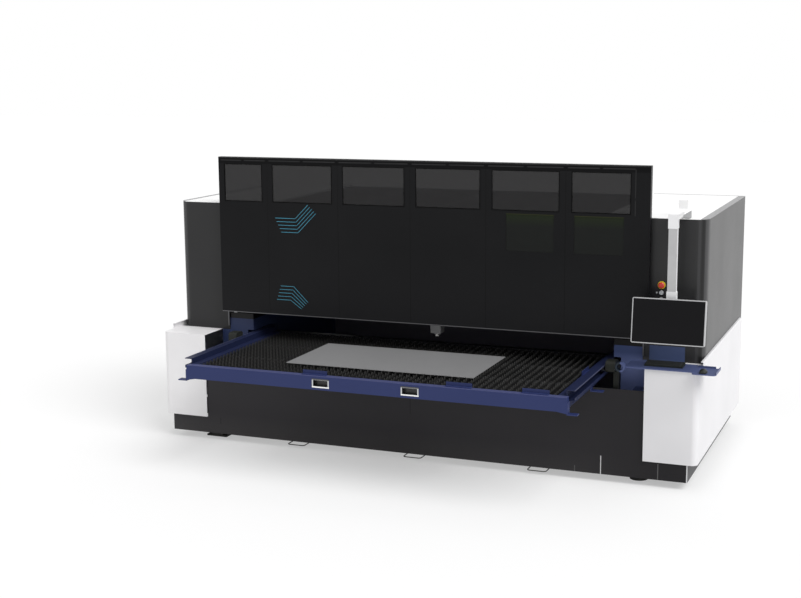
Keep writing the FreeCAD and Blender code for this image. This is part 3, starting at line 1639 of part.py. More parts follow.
def screen_glass():
    """The display's glass, let into the housing."""
    long = "(screen_wide - 2 * bezel - 2 * clearance)"
    high = "(screen_high - 2 * bezel - 2 * clearance)"
    face = f"{SCREEN_FACE} + clearance"
    glass = block((long, "pane_deep - clearance", high), (f"- {long} / 2", face, f"- {high} / 2"))
    return group(glass)


screen_piece("screen_housing", screen_housing())
screen_piece("screen_glass", screen_glass())


# ---------------------------------------------------------------- operating buttons

def push_button(name, radius, thick, travel, height):
    """A button whose stem passes through the fascia, with room behind its cap for the press."""
    cap = rod(radius, thick, ("0", f"- {travel} - clearance - {thick}", "0"), "y")
    stem = rod("stem_radius - clearance", f"{travel} + clearance + 5 * case_sheet", ("0", f"- {travel} - clearance", "0"), "y")
    return node(name, fuse(cap, stem), "button_across", "case_front", height)


push_button("start_button", "button_radius", "button_proud", "button_travel", START_HEIGHT)
push_button("stop_button", "button_radius", "button_proud", "button_travel", STOP_HEIGHT)


def emergency_stop():
    """The mushroom button, and the collar it is set in."""
    travel = "(mushroom_travel + collar_thick)"
    rim = rod("mushroom_radius", "mushroom_thick / 2", ("0", f"- {travel} - clearance - mushroom_thick / 2", "0"), "y")
    crown = doc.addObject("Part::Cone", "crown")
    bind(crown, "Radius1", "mushroom_radius * 0.75")
    bind(crown, "Radius2", "mushroom_radius")
    bind(crown, "Height", "mushroom_thick / 2")
    crown.Placement = FreeCAD.Placement(FreeCAD.Vector(), TURNS["y"])
    put(crown, "0", f"- {travel} - clearance - mushroom_thick", "0")
    stem = rod("stem_radius - clearance", f"{travel} + clearance + 5 * case_sheet", ("0", f"- {travel} - clearance", "0"), "y")
    node("emergency_button", fuse(rim, crown, stem), "button_across", "case_front", "mushroom_height")
    ring = rod("collar_radius", "collar_thick", ("0", "- collar_thick", "0"), "y")
    hole = rod("stem_radius", "collar_thick + 2 * clearance", ("0", "- collar_thick - clearance", "0"), "y")
    node("emergency_collar", cut(ring, hole), "button_across", "case_front", "mushroom_height")


emergency_stop()

doc.recompute()


def check():
    """Stops if any object failed, or any sub-part is empty or not valid."""
    for thing in doc.Objects:
        if "Invalid" in thing.State or "Error" in thing.State:
            raise RuntimeError(f"{thing.Label}: {thing.State}")
    for thing in NODES:
        if thing.Shape.isNull() or not thing.Shape.isValid():
            raise RuntimeError(f"{thing.Label} has no valid shape")


check()
os.makedirs("parts", exist_ok=True)
for thing in NODES:
    thing.Shape.exportStep(f"parts/{thing.Label}.step")
print(len(NODES), "sub-parts")
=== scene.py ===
# %% [markdown]
# # A sheet laser cutting machine, dressed for its picture
#
# The solids of the machine already exist: they were drawn in a CAD tool, and every one of them has
# its real size and place. This lesson dresses them. First come the camera and the light, then helpers
# for materials and the finishes, then the floor and helpers for meshes, and last the small things that
# a picture needs and a machine drawing leaves out, such as key caps, gaskets, screws and finer slats.

# %% Load the machine
import bpy
import bmesh
import math
from mathutils import Matrix, Vector


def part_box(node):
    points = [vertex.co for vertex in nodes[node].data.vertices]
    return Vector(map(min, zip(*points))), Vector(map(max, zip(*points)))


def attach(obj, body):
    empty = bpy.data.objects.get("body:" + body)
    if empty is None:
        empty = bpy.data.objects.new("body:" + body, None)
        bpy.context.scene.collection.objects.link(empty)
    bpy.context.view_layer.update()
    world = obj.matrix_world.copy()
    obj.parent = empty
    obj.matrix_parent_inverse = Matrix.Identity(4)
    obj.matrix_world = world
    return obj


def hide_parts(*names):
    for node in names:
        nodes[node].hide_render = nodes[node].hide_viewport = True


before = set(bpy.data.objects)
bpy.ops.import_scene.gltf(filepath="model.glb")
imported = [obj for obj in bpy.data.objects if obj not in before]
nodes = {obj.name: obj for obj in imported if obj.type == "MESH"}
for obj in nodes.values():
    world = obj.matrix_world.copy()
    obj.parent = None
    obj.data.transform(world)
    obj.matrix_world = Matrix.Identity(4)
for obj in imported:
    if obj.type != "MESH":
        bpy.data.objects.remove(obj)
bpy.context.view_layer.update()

# %% [markdown]
# The drawing counts millimetres from the front left corner of the bed. The model's own origin lies on
# the floor in the middle of the whole machine, and Blender counts in metres. One small function turns
# a place on the drawing into a place in the scene, so the rest of the file can use plain millimetres.

# %% Places on the drawing
MIDDLE = Vector((2367.0, 654.0, 0.0))


def spot(across, back, up):
    """A place given in millimetres from the bed's front left corner."""
    return (Vector((across, back, up)) - MIDDLE) / 1000


print("the bed's front left corner is at", [round(c, 3) for c in spot(0, 0, 0)])

# %% [markdown]
# ## Camera
#
# A photograph of a long box tells where it was taken from: its edges run to vanishing points. The
# values here come from fitting a camera to forty corners of the machine. It stands nearly twelve metres
# away at the right, a good metre above the roof, and looks down a little.

# %% Camera
FOCAL_LENGTH = 61.65
STAND = (6374.2, -10237.4, 3291.9)
TURN, TILT, ROLL = 0.3862, -0.1727, -0.008
lens = bpy.data.cameras.new("camera")
lens.lens = FOCAL_LENGTH
lens.sensor_width = 36
lens.clip_end = 200
camera = bpy.data.objects.new("camera", lens)
bpy.context.scene.collection.objects.link(camera)
level_eye = Matrix.Rotation(math.pi / 2 + TILT, 4, "X")
look = Matrix.Rotation(TURN, 4, "Z") @ level_eye @ Matrix.Rotation(ROLL, 4, "Z")
camera.matrix_world = Matrix.Translation(spot(*STAND)) @ look
bpy.context.scene.camera = camera
print("camera stands at", [round(c, 2) for c in camera.location])

# %% [markdown]
# ## Light
#
# The picture is a studio picture: a white room lights everything evenly, and one large soft lamp high
# at the right makes the right side and the top brighter than the front. In Blender the room is the
# world's colour. It lights the machine at less than full strength, but what the camera sees of it is
# plain white, and so is what shows through glass or is mirrored: the kind of ray decides.

# %% World
ROOM_LEVEL = 0.62
world = bpy.data.worlds.new("white_room")
bpy.context.scene.world = world
world.use_nodes = True
sky = world.node_tree
room = sky.nodes["Background"]
room.inputs["Color"].default_value = (1, 1, 1, 1)
rays = sky.nodes.new("ShaderNodeLightPath")
shown_white = rays.outputs["Is Camera Ray"]
for kind in ("Is Transmission Ray", "Is Glossy Ray"):
    either = sky.nodes.new("ShaderNodeMath")
    either.operation = "MAXIMUM"
    sky.links.new(shown_white, either.inputs[0])
    sky.links.new(rays.outputs[kind], either.inputs[1])
    shown_white = either.outputs[0]
level = sky.nodes.new("ShaderNodeMapRange")
level.inputs["To Min"].default_value = ROOM_LEVEL
level.inputs["To Max"].default_value = 1.0
sky.links.new(shown_white, level.inputs["Value"])
sky.links.new(level.outputs[0], room.inputs["Strength"])
print("the room lights the machine at", ROOM_LEVEL, "of white")

# %% [markdown]
# The lamp is a sun: its light comes from one side at every place, so only its turn matters. Its disc is
# forty degrees wide, where the real sun's is half a degree, and that gives shadows with soft edges. The
# view transform is Standard, so that a colour shows about as it is written.

# %% Lamp
LAMP_SIDE = Vector((0.60, -0.24, 0.76))
lamp = bpy.data.lights.new("wide_lamp", "SUN")
lamp.energy = 2.1
lamp.angle = math.radians(40)
lamp_place = bpy.data.objects.new("wide_lamp", lamp)
lamp_place.rotation_euler = LAMP_SIDE.to_track_quat("Z", "Y").to_euler()
bpy.context.scene.collection.objects.link(lamp_place)
bpy.context.scene.view_settings.view_transform = "Standard"
print("a lamp of strength", round(lamp.energy, 2), "and", round(math.degrees(lamp.angle)), "degrees wide")

# %% [markdown]
# ## Two helpers for materials
#
# A Blender material is a graph of nodes. Sums on its values would need a Math node each, so a small
# class wraps a value and lets Python write the sums: `1 - mask` or `noise * 0.2` adds the node.

# %% A value that varies over a surface
class Tint:
    """A number that varies over a surface. Arithmetic on it adds Math nodes."""

    def __init__(self, tree, socket):
        self.tree = tree
        self.socket = socket

    def math(self, operation, left, right):
        """One Math node; each side is a plain number or another value."""
        step = self.tree.nodes.new("ShaderNodeMath")
        step.operation = operation
        for slot, side in zip(step.inputs, (left, right)):
            if isinstance(side, Tint):
                self.tree.links.new(side.socket, slot)
            else:
                slot.default_value = side
        return Tint(self.tree, step.outputs[0])

    def __add__(self, other):
        return self.math("ADD", self, other)

    def __mul__(self, other):
        return self.math("MULTIPLY", self, other)

    def __sub__(self, other):
        return self.math("SUBTRACT", self, other)

    def __rsub__(self, other):
        return self.math("SUBTRACT", other, self)

    def __gt__(self, other):
        return self.math("GREATER_THAN", self, other)

    def __lt__(self, other):
        return self.math("LESS_THAN", self, other)

    __radd__ = __add__
    __rmul__ = __mul__


print("values can be added, taken away, multiplied and compared")

# %% [markdown]
# The second class is one material. It starts with Blender's Principled shader and with the object's own
# coordinates: a finished piece lies at the origin, so these are its metres across, behind and above the
# model's origin. One method adds any node, one feeds the shader, and the others are common mixtures.

# %% One material
class Finish:
    """A material on the object's own coordinates, with a Principled shader."""

    def __init__(self, name):
        self.material = bpy.data.materials.new(name)
        self.material.use_nodes = True
        self.tree = self.material.node_tree
        self.shader = self.tree.nodes["Principled BSDF"]
        self.place = self.node("ShaderNodeTexCoord", output="Object")
        self.across, self.back, self.up = self.parts(self.place)

    def node(self, kind, settings=None, inputs=None, output=0):
        """Adds any node: its settings first, then the values or links of its sockets."""
        made = self.tree.nodes.new(kind)
        for key, value in (settings or {}).items():
            setattr(made, key, value)
        for key, value in (inputs or {}).items():
            self.plug(made.inputs[key], value)
        return Tint(self.tree, made.outputs[output])

    def plug(self, slot, value):
        """Links a value to a socket, or sets the socket; a colour gets its alpha."""
        if isinstance(value, Tint):
            self.tree.links.new(value.socket, slot)
        elif isinstance(value, tuple) and len(value) == 3 and slot.type == "RGBA":
            slot.default_value = (*value, 1)
        else:
            slot.default_value = value

    def parts(self, vector):
        """The three numbers of a vector."""
        split = self.tree.nodes.new("ShaderNodeSeparateXYZ")
        self.plug(split.inputs[0], vector)
        return [Tint(self.tree, out) for out in split.outputs]

    def feed(self, **inputs):
        """Sets or links the shader's inputs, named in lower case."""
        for key, value in inputs.items():
            self.plug(self.shader.inputs[key.replace("_", " ").title().replace("Ior", "IOR")], value)

    def noise(self, scale, stretch=(1, 1, 1), detail=3, rough=0.5):
        """Cloudy noise from 0 to 1, stretched along the axes: its spots are about 1 / scale metres."""
        turned = self.node("ShaderNodeMapping", inputs={"Vector": self.place, "Scale": stretch})
        return self.node("ShaderNodeTexNoise", inputs={"Vector": turned, "Scale": scale, "Detail": detail,
                                                        "Roughness": rough})

    def mix(self, share, first, second):
        """A colour between two, by a share that varies."""
        return self.node("ShaderNodeMix", {"data_type": "RGBA"}, {0: share, 6: first, 7: second}, output=2)

    def band(self, value, middle, width):
        """1 within half a width of the middle and 0 elsewhere."""
        return (value > middle - width / 2) * (value < middle + width / 2)

    def ramp(self, value, start, stop):
        """0 up to the start and 1 from the stop on; the stop may be the lower of the two."""
        return self.node("ShaderNodeMapRange", inputs={"Value": value, "From Min": start, "From Max": stop})

    def bump(self, height, depth):
        """A relief in the shading, as deep as given, in metres."""
        return self.node("ShaderNodeBump", inputs={"Height": height, "Distance": depth})


print("a finish can add nodes, noise, bands, colour mixes and bumps")

# %% [markdown]
# ## Paint
#
# Most of the machine is powder-coated steel. Such a coat is never quite flat: it has a fine orange-peel
# skin about a tenth of a millimetre deep, its gloss drifts slowly from place to place, and dust settles
# near the floor. The function takes a colour and a gloss and makes all of that from noise on the
# object's own coordinates, so one paint differs a little from place to place.

# %% A powder coat
def powder(name, colour, rough=0.45, shine=0.25, peel=0.00012, dust=0.05, marks=()):
    """A powder coat. Each mark is a function that returns a mask, and the colour painted there."""
    finish = Finish(name)
    drift = finish.noise(1.7, detail=2)
    grain = finish.noise(420, detail=2)
    speck = finish.noise(90, detail=4, rough=0.65)
    low = 1 - finish.node("ShaderNodeClamp", inputs={"Value": finish.up * 4})
    settled = finish.node("ShaderNodeClamp", inputs={"Value": low * dust * (speck + 0.4) * 2})
    paler = tuple(min(1.0, c * 1.10 + 0.004) for c in colour)
    darker = tuple(c * 0.92 for c in colour)
    base = finish.mix(drift, darker, paler)
    base = finish.mix(settled, base, (0.30, 0.29, 0.27))
    height = grain
    for mask, paint in marks:
        share = mask(finish)
        base = finish.mix(share, base, paint)
        height = height - share * 3
    finish.feed(base_color=base, roughness=rough + (drift - 0.5) * 0.10 + (speck - 0.5) * 0.06,
                normal=finish.bump(height, peel), specular_ior_level=shine)
    return finish.material


print("powder coats can be made")

# %% [markdown]
# ## Bare metal
#
# Ground and rolled steel carries fine lines in the direction it was worked, so its noise is stretched
# up to sixtyfold: it stays long along the lines and short across them. A second, cloudy noise gives a
# few stains. A painted mark takes the metal's shine away where it lies.

# %% Worked steel
def worked(name, colour, rough=0.32, along=(1, 60, 60), metal=1.0, streak=0.16, spots=0.0,
           depth=0.00006, marks=()):
    """Metal with fine lines along one axis, given by a stretch, and stains, under painted marks."""
    finish = Finish(name)
    lines = finish.noise(14, stretch=along, detail=5, rough=0.6)
    cloud = finish.noise(3.2, detail=4, rough=0.6)
    pale = tuple(min(1.0, c * (1 + streak)) for c in colour)
    dark = tuple(c * (1 - streak) for c in colour)
    base = finish.mix(lines, dark, pale)
    stain = finish.ramp(cloud, 0.52, 0.75)
    base = finish.mix(stain * spots, base, tuple(c * 0.45 for c in colour))
    bare = metal
    for mask, paint in marks:
        share = mask(finish)
        base = finish.mix(share, base, paint)
        bare = (1 - share) * bare
    finish.feed(base_color=base, metallic=bare, roughness=rough + (lines - 0.5) * 0.22 + (cloud - 0.5) * 0.12,
                normal=finish.bump(lines, depth))
    return finish.material


print("worked steel can be made")

# %% [markdown]
# ## Plastic
#
# Moulded plastic takes a tiny even grain from its mould. Its gloss and colour drift in patches a few
# centimetres wide, as on a surface that is touched. Caps and lenses get a thin clear coat on top.

# %% Moulded plastic
def moulded(name, colour, rough=0.5, grain=700, depth=0.00008, coat=0.0, shine=0.35):
    """Plastic with an even moulded grain and slightly polished patches."""
    finish = Finish(name)
    pores = finish.noise(grain, detail=2)
    touch = finish.noise(14, detail=3)
    base = finish.mix(touch, tuple(c * 0.9 for c in colour), tuple(min(1.0, c * 1.1 + 0.002) for c in colour))
    finish.feed(base_color=base, roughness=rough + (touch - 0.5) * 0.14, normal=finish.bump(pores, depth),
                coat_weight=coat, coat_roughness=0.08, specular_ior_level=shine)
    return finish.material


print("moulded plastic can be made")

# %% [markdown]
# ## Glass
#
# The windows are tinted so darkly that the door looks black; only against a white wall does a little
# light come through, which a high alpha gives more simply than true refraction would. The laser glass
# may turn to a second colour towards its upper edge.

# %% Tinted window
def tinted(name, colour, opacity, shine=0.2, top_colour=None, top_height=0.0, fade=0.1):
    """A dark window: nearly opaque, glossy, with faint wiping marks."""
    finish = Finish(name)
    wiped = finish.noise(5, stretch=(1, 1, 3.5), detail=4, rough=0.6)
    base = finish.mix(wiped, colour, tuple(c * 1.25 for c in colour))
    if top_colour:
        rise = finish.ramp(finish.up, top_height - fade, top_height)
        base = finish.mix(rise, base, top_colour)
    finish.feed(base_color=base, roughness=0.06 + wiped * 0.05, alpha=opacity, specular_ior_level=shine)
    return finish.material


print("windows can be tinted")

# %% [markdown]
# ## Slats in use
#
# The slats are consumed by the work: cutting slag darkens their lower part, and their tips are burnt to grey
# and a little rust. Their nearly black lower part is also painted shade between the slats, and their paler
# tips are also a painted highlight on the teeth. So their colour follows the height above the floor, and
# noise breaks up the edge between the two.

# %% Slat steel
SLAG_AND_SHADE_TOP, TIPS_FROM = 0.872, 0.903


def slat_steel():
    """Scaled steel: nearly black up to the slag's top, for slag and painted shade, and greyer at the tips,
    for burn and painted highlight; heights in metres.
    """
    finish = Finish("slat_scale")
    scale = finish.noise(24, stretch=(1, 1, 0.4), detail=4, rough=0.6)
    rust = finish.noise(7, detail=3)
    rise = finish.ramp(finish.up + (scale - 0.5) * 0.02, SLAG_AND_SHADE_TOP, TIPS_FROM)
    tips = finish.mix(rust, (0.058, 0.053, 0.050), (0.050, 0.053, 0.053))
    base = finish.mix(rise, (0.009, 0.009, 0.009), tips)
    finish.feed(base_color=base, roughness=0.5 + (scale - 0.5) * 0.3, metallic=0.15,
                normal=finish.bump(scale, 0.0004), specular_ior_level=0.25)
    return finish.material


print("slat steel can be made")

# %% [markdown]
# ## Marks in the paint
#
# Joints between sheets are only hair lines in the picture, so they are drawn in the paint, with a
# matching dip in the bump. Other pieces carry two paints, such as the roof, which is white at its ends
# and grey between them. A mark is a function that makes a mask for a finish: a value that is 1 inside
# the mark and 0 outside. Most masks are a band or a limit on one coordinate, and two of the helpers
# make such marks from nothing but a place. The drawing gives the places in millimetres.

# %% Helpers for marks
def x_at(place):
    """A place along the machine, in millimetres, as a material counts it."""
    return (place - MIDDLE.x) / 1000


def y_at(place):
    """The same for a place behind the bed's front."""
    return (place - MIDDLE.y) / 1000


def across_at(finish, place, width=0.003):
    """An upright line at a place along the machine; its width is in metres."""
    return finish.band(finish.across, x_at(place), width)


def right_of(finish, place):
    """Everything to the right of a place along the machine, in millimetres."""
    return finish.across > x_at(place)


def above(finish, height):
    """Everything above a height in millimetres."""
    return finish.up > height / 1000


def behind(finish, place):
    """Everything behind a place in millimetres from the bed's front."""
    return finish.back > y_at(place)


def beyond(side, place):
    """A mark of everything on one side of a place: above, behind or right_of it."""
    return lambda finish: side(finish, place)


def uprights(width, first, *others):
    """A mark of upright lines of one width at some places along the machine."""
    def mask(finish):
        lines = across_at(finish, first, width)
        for place in others:
            lines = lines + across_at(finish, place, width)
        return lines
    return mask


print("the right end of the bed lies at", round(x_at(4600), 3), "metres")

# %% [markdown]
# ### Door
#
# Five upright joints part the door's six bays, and a darker band runs above its windows. The lower half
# of a smooth black door mirrors the pale floor, so its paint grows a little paler downwards.

# %% Marks on the door
door_seams = uprights(0.003, 888, 1551, 2206, 2864, 3526)
door_crown = beyond(above, 2421)


def door_foot(finish):
    """The door's lower half, which reflects the pale floor."""
    return finish.ramp(finish.up, 1.75, 1.114)


print("the door has its joints, its crown and its foot")

# %% [markdown]
# ### Casings
#
# Each tall casing is a sheet rolled round its front corner. Beside the roll it is folded and meets the side
# sheet. The light on that fold is painted: a painted highlight, a painted shade in the groove and a pale
# painted edge run down the corner. Each is about two centimetres wide, and a pale painted sheen runs along
# the top rim. One list keeps all these marks and their paints.

# %% Marks on the casings
# These casing marks are painted light: a highlight, the shade of the groove, a lit edge and a sheen on the
# top rim.
fold_highlight = uprights(0.020, 4569, 31)
groove_shade = uprights(0.017, 4595, 5)
lit_edge_highlight = uprights(0.021, 4620, -20)
rim_sheen = beyond(above, 2065.5)
CASING_LIGHT_MARKS = [(fold_highlight, (0.036, 0.036, 0.0375)), (groove_shade, (0.0125, 0.0125, 0.013)),
                (lit_edge_highlight, (0.055, 0.055, 0.057)), (rim_sheen, (0.255, 0.255, 0.26))]
print("a casing has", len(CASING_LIGHT_MARKS), "marks")

# %% [markdown]
# ### Skirt and plinth
#
# The dark skirt closes the bed's front between the end covers. It shows two joints, and four pale lines on it
# are painted light: three narrow slits with light showing through, and a highlight at its right corner.
# Towards its right end the skirt is painted darker, a painted shade against the lamp there. The plinth runs
# round the sides and the back: its right end is painted paler as a painted highlight, and the inside of its
# rear sheet is painted pale as painted light.

# %% Marks on the skirt and the plinth
def skirt_seams(finish):
    """The upper joint at the middle of the skirt's front, and a short one low at the left."""
    joint = across_at(finish, 2288) * above(finish, 400)
    return joint + across_at(finish, 495, 0.004) * finish.band(finish.up, 0.175, 0.06)


def skirt_lit_gaps(finish):
    """Pale lines of painted light: a narrow slit with light showing through, and a highlight at the right
    corner.
    """
    low = 1 - above(finish, 210)
    return across_at(finish, 3900, 0.007) * low + across_at(finish, 4576, 0.009)


def skirt_faint_slits(finish):
    """Two short pale lines near the floor: painted light in two narrow slits."""
    long_slit = across_at(finish, 4352, 0.006) * (1 - above(finish, 190))
    return long_slit + across_at(finish, 3690, 0.005) * (1 - above(finish, 110))


def skirt_right_shade(finish):
    """The skirt's paint grows darker towards its right end, a painted shade against the lamp there."""
    return finish.ramp(finish.across, x_at(2600), x_at(4400))


def inner_wall_light(finish):
    """The inside face of the rear sheet, painted pale as painted light where it shows past the table."""
    return finish.band(finish.back, y_at(2149), 0.002)


# Painted highlight: the plinth's right end is paler, as lit.
plinth_end_highlight = beyond(right_of, 4578.5)
print("the skirt and the plinth have their marks")

# %% [markdown]
# ### Roof
#
# The roof is white over both casings and grey between them. Its four grey panels lie a little lower,
# and pale joints part them. Its rear edge is dark. The grey part is drawn as one very wide line.

# %% Marks on the roof
ROOF_WIDE, ROOF_END = 4600, 785
middle_roof = uprights((ROOF_WIDE - 2 * ROOF_END) / 1000, 2300)
roof_joints = uprights(0.012, 1542, 2300, 3058)
roof_back = beyond(behind, 2212)
print("the grey roof is", ROOF_WIDE - 2 * ROOF_END, "millimetres wide")

# %% [markdown]
# ### Bed and table
#
# The girders are painted darker where the door shades them, and the right one is painted paler towards the
# floor, as painted light under the shelf. On the table the front beam's top carries a painted highlight, the
# rear tube a painted shade, and the outer edges of the two channels painted highlights.

# %% Marks on the bed and the table
girder_top = beyond(above, 1043)
# Painted highlight on the front beam's top face.
beam_top_highlight = beyond(above, 891.6)
# Painted shade on the table's rear tube.
rear_tube_shade = beyond(behind, 576)


def girder_foot_light(finish):
    """Painted light: the girder's face below its middle grows paler towards the floor, lifting the shade
    under the shelf.
    """
    return finish.ramp(finish.up, 0.99, 0.86)


def channel_lip_highlight(finish):
    """Painted highlights on the outer edges of the table's two channels."""
    outer = (finish.across < x_at(690)) + right_of(finish, 3910)
    return above(finish, 931) * outer


print("the girders, the beam and the channels have their marks")

# %% [markdown]
# ### Pulls and shelf
#
# The table is drawn out by two pulls in its front beam: a bright plate with an opening for the fingers. The
# dark inside of the opening is painted shade, and the pale lower rim a painted highlight. The shelf ends at
# the left in a ring for cables.

# %% Marks on the pulls and the shelf
PULL_FRONT = -931
# Painted shade: the inside of the pulls' opening, behind the plate's face, is dark.
pull_recess_shade = beyond(behind, PULL_FRONT)


def pull_brow(finish):
    """The upper rim of the pulls, which leans away from the light."""
    return above(finish, 865) * (1 - behind(finish, PULL_FRONT))


def pull_lip_highlight(finish):
    """The lower rim, where the fingers go, painted pale as a painted highlight."""
    return (1 - above(finish, 814)) * (1 - behind(finish, PULL_FRONT))


def ring_end(finish):
    """The dark cable ring at the left end of the shelf."""
    return 1 - right_of(finish, 4049)


print("the pulls and the shelf have their marks")

# %% [markdown]
# ## Finishes of the machine
#
# Every piece of the drawing gets its own finish here, group by group. The colours were matched to the
# picture by eye and by comparing renders with it. They are linear values, which Blender's shaders use,
# so they look darker as numbers than on the screen. The main paints are named first.

# %% Colours
NAVY = (0.0215, 0.032, 0.112)
DARK_NAVY = (0.026, 0.04, 0.105)
CHARCOAL = (0.0188, 0.0188, 0.0196)
BLACK = (0.0056, 0.0057, 0.0065)
SOOT = (0.0235, 0.0222, 0.0245)
INK = (0.003, 0.003, 0.0035)
HIGHLIGHT_NAVY = (0.068, 0.078, 0.18)
SHADED_NAVY = (0.0112, 0.0160, 0.0490)
print("navy is", NAVY)

# %% [markdown]
# ### Bed
#
# The bed is a welded steel frame in navy, with dark sheets round it. Its feet stand near the floor and
# gather dust, so they are rougher and duller.

# %% Finishes of the bed
finishes = {
    # The two girders carry a lit and a shaded copy of one navy paint: the right one's is mixed paler, as
    # painted light.
    "bed_girder_left": powder("bed_paint_left", DARK_NAVY, 0.42, marks=[(girder_top, INK)]),
    "bed_girder_right": powder("bed_paint_right", (0.052, 0.078, 0.20), 0.42,
                               marks=[(girder_foot_light, (0.17, 0.215, 0.45)), (girder_top, INK)]),
    "bed_cross_beams": powder("portal_paint", (0.034, 0.05, 0.13), 0.45),
    "levelling_feet": powder("foot_paint", (0.01, 0.01, 0.01), 0.55, shine=0.15, dust=0.1),
    "front_skirt": powder("skirt_paint", (0.0310, 0.0293, 0.0323), 0.5, shine=0.15,
                          marks=[(skirt_right_shade, (0.0160, 0.0151, 0.0167)), (skirt_seams, INK),
                                 (skirt_lit_gaps, (0.6, 0.6, 0.61)), (skirt_faint_slits, (0.12, 0.12, 0.12))]),
    "plinth_cover": powder("plinth_paint", (0.0190, 0.0180, 0.0200), 0.5, shine=0.15,
                           marks=[(plinth_end_highlight, (0.075, 0.075, 0.078)), (inner_wall_light, (0.165, 0.156, 0.195))]),
}
print(len(finishes), "pieces have a finish")

# %% [markdown]
# ### Covers and roof
#
# The end covers are white, and the casings charcoal with a soft gloss. The lamp stands at the right,
# so the right cover's paint is mixed a little darker to come out as in the picture.

# %% Finishes of the covers and the roof
finishes.update({
    "end_cover_left": powder("left_cover_paint", (0.84, 0.83, 0.84), 0.42, dust=0.01),
    "end_cover_right": powder("right_cover_paint", (0.72, 0.715, 0.73), 0.42, dust=0.01),
    "casing_left": powder("left_casing_paint", CHARCOAL, 0.34, shine=0.27, dust=0.0, marks=CASING_LIGHT_MARKS),
    "casing_right": powder("right_casing_paint", CHARCOAL, 0.34, shine=0.27, dust=0.0, marks=CASING_LIGHT_MARKS),
    "roof_panels": powder("roof_paint", (0.93, 0.93, 0.93), 0.4, dust=0.0,
                          marks=[(roof_back, (0.12, 0.12, 0.125)), (middle_roof, (0.05, 0.05, 0.052)),
                                 (roof_joints, (0.6, 0.6, 0.6))]),
    "roof_rails": powder("rail_paint", CHARCOAL, 0.5),
    "rear_cover": powder("rear_paint", CHARCOAL, 0.38, dust=0.0),
})
print(len(finishes), "pieces have a finish")

# %% [markdown]
# ### Rails and rear
#
# What slides is ground steel, nylon or, under the trays, painted steel. The fume spigot is galvanised
# sheet, and the posts at the mouth are enamelled nearly black.

# %% Finishes of the rails and the rear
finishes.update({
    "extraction_spigot": worked("galvanised_sheet", (0.50, 0.51, 0.52), 0.38, along=(3, 3, 3), spots=0.5),
    "power_gland": moulded("gland_nylon", (0.02, 0.02, 0.02), 0.5),
    "gantry_guides": worked("ground_rail", (0.42, 0.42, 0.43), 0.22, along=(60, 1, 60)),
    "guide_posts": powder("post_enamel", (0.0175, 0.0190, 0.0165), 0.5, shine=0.15),
    "slide_shoes": moulded("shoe_nylon", (0.045, 0.045, 0.04), 0.55),
    "tray_runners": powder("runner_paint", SOOT, 0.6, shine=0.15, dust=0.1),
    "door_lift_rails": worked("door_rail_steel", (0.10, 0.10, 0.105), 0.3, along=(60, 60, 1)),
})
print(len(finishes), "pieces have a finish")

# %% [markdown]
# ### Operator's place
#
# Blue sheet metal carries dark plastic things. The collar of the emergency button is yellow, as such
# collars are everywhere, and a little glossier.

# %% Finishes of the operator's place
finishes.update({
    "service_plate": powder("plate_paint", (0.050, 0.073, 0.160), 0.4, shine=0.2),
    "arm_pivot": worked("pivot_steel", (0.30, 0.30, 0.31), 0.35, along=(30, 30, 1)),
    "console_shelf": powder("shelf_paint", (0.066, 0.086, 0.195), 0.4,
                            marks=[(ring_end, (0.014, 0.022, 0.032))]),
    "keyboard": moulded("keyboard_plastic", (0.014, 0.017, 0.014), 0.55, shine=0.2),
    "mouse": moulded("mouse_plastic", (0.014, 0.017, 0.013), 0.4, shine=0.3),
    "emergency_collar": moulded("collar_plastic", (0.74, 0.56, 0.015), 0.4, coat=0.3),
})
print(len(finishes), "pieces have a finish")

# %% [markdown]
# ### Table
#
# The table's frame is navy like the bed, and where its own rim shades it the shade is painted in as a darker
# navy. Its cross members and combs are dark, its pulls and rollers bare metal. The sheet on it is rolled
# steel: dull, pale and hardly stained, so that it stands out from the dark slats.

# %% Finishes of the table
finishes.update({
    "table_front_beam": powder("front_beam_paint", NAVY, 0.4, shine=0.2, dust=0.0,
                               marks=[(beam_top_highlight, HIGHLIGHT_NAVY)]),
    "table_side_tubes": powder("side_tube_paint", (0.0140, 0.0195, 0.0580), 0.4, shine=0.2, dust=0.0,
                               marks=[(rear_tube_shade, (0.006, 0.006, 0.008))]),
    "table_channels": powder("channel_paint", SHADED_NAVY, 0.4, shine=0.2, dust=0.0,
                             marks=[(channel_lip_highlight, (0.058, 0.065, 0.115))]),
    "table_cross_members": powder("cross_member_paint", (0.012, 0.012, 0.013), 0.6, dust=0.0),
    "slat_combs": powder("comb_paint", (0.012, 0.012, 0.014), 0.6, dust=0.0),
    "slats": slat_steel(),
    "sheet_clips": powder("clip_paint", NAVY, 0.42, shine=0.2, dust=0.0),
    "table_handles": worked("pull_alloy", (0.55, 0.56, 0.57), 0.3, along=(1, 30, 30),
                            marks=[(pull_recess_shade, (0.012, 0.012, 0.012)), (pull_brow, (0.07, 0.07, 0.07)),
                                   (pull_lip_highlight, (0.93, 0.93, 0.92))]),
    "table_tabs": powder("tab_paint", NAVY, 0.42, shine=0.2, dust=0.0),
    "workpiece_sheet": worked("rolled_sheet", (0.30, 0.30, 0.305), 0.45, along=(1, 40, 40), metal=0.25,
                              streak=0.08, spots=0.05, depth=0.00002),
    "table_roller_left": worked("turned_left", (0.28, 0.28, 0.29), 0.3, along=(60, 2, 2)),
    "table_roller_right": worked("turned_right", (0.28, 0.28, 0.29), 0.3, along=(60, 2, 2)),
})
print(len(finishes), "pieces have a finish")

# %% [markdown]
# ### Door
#
# The door is nearly all black: dark paint with little shine, smoked windows above, and laser glass
# with a green cast below them.

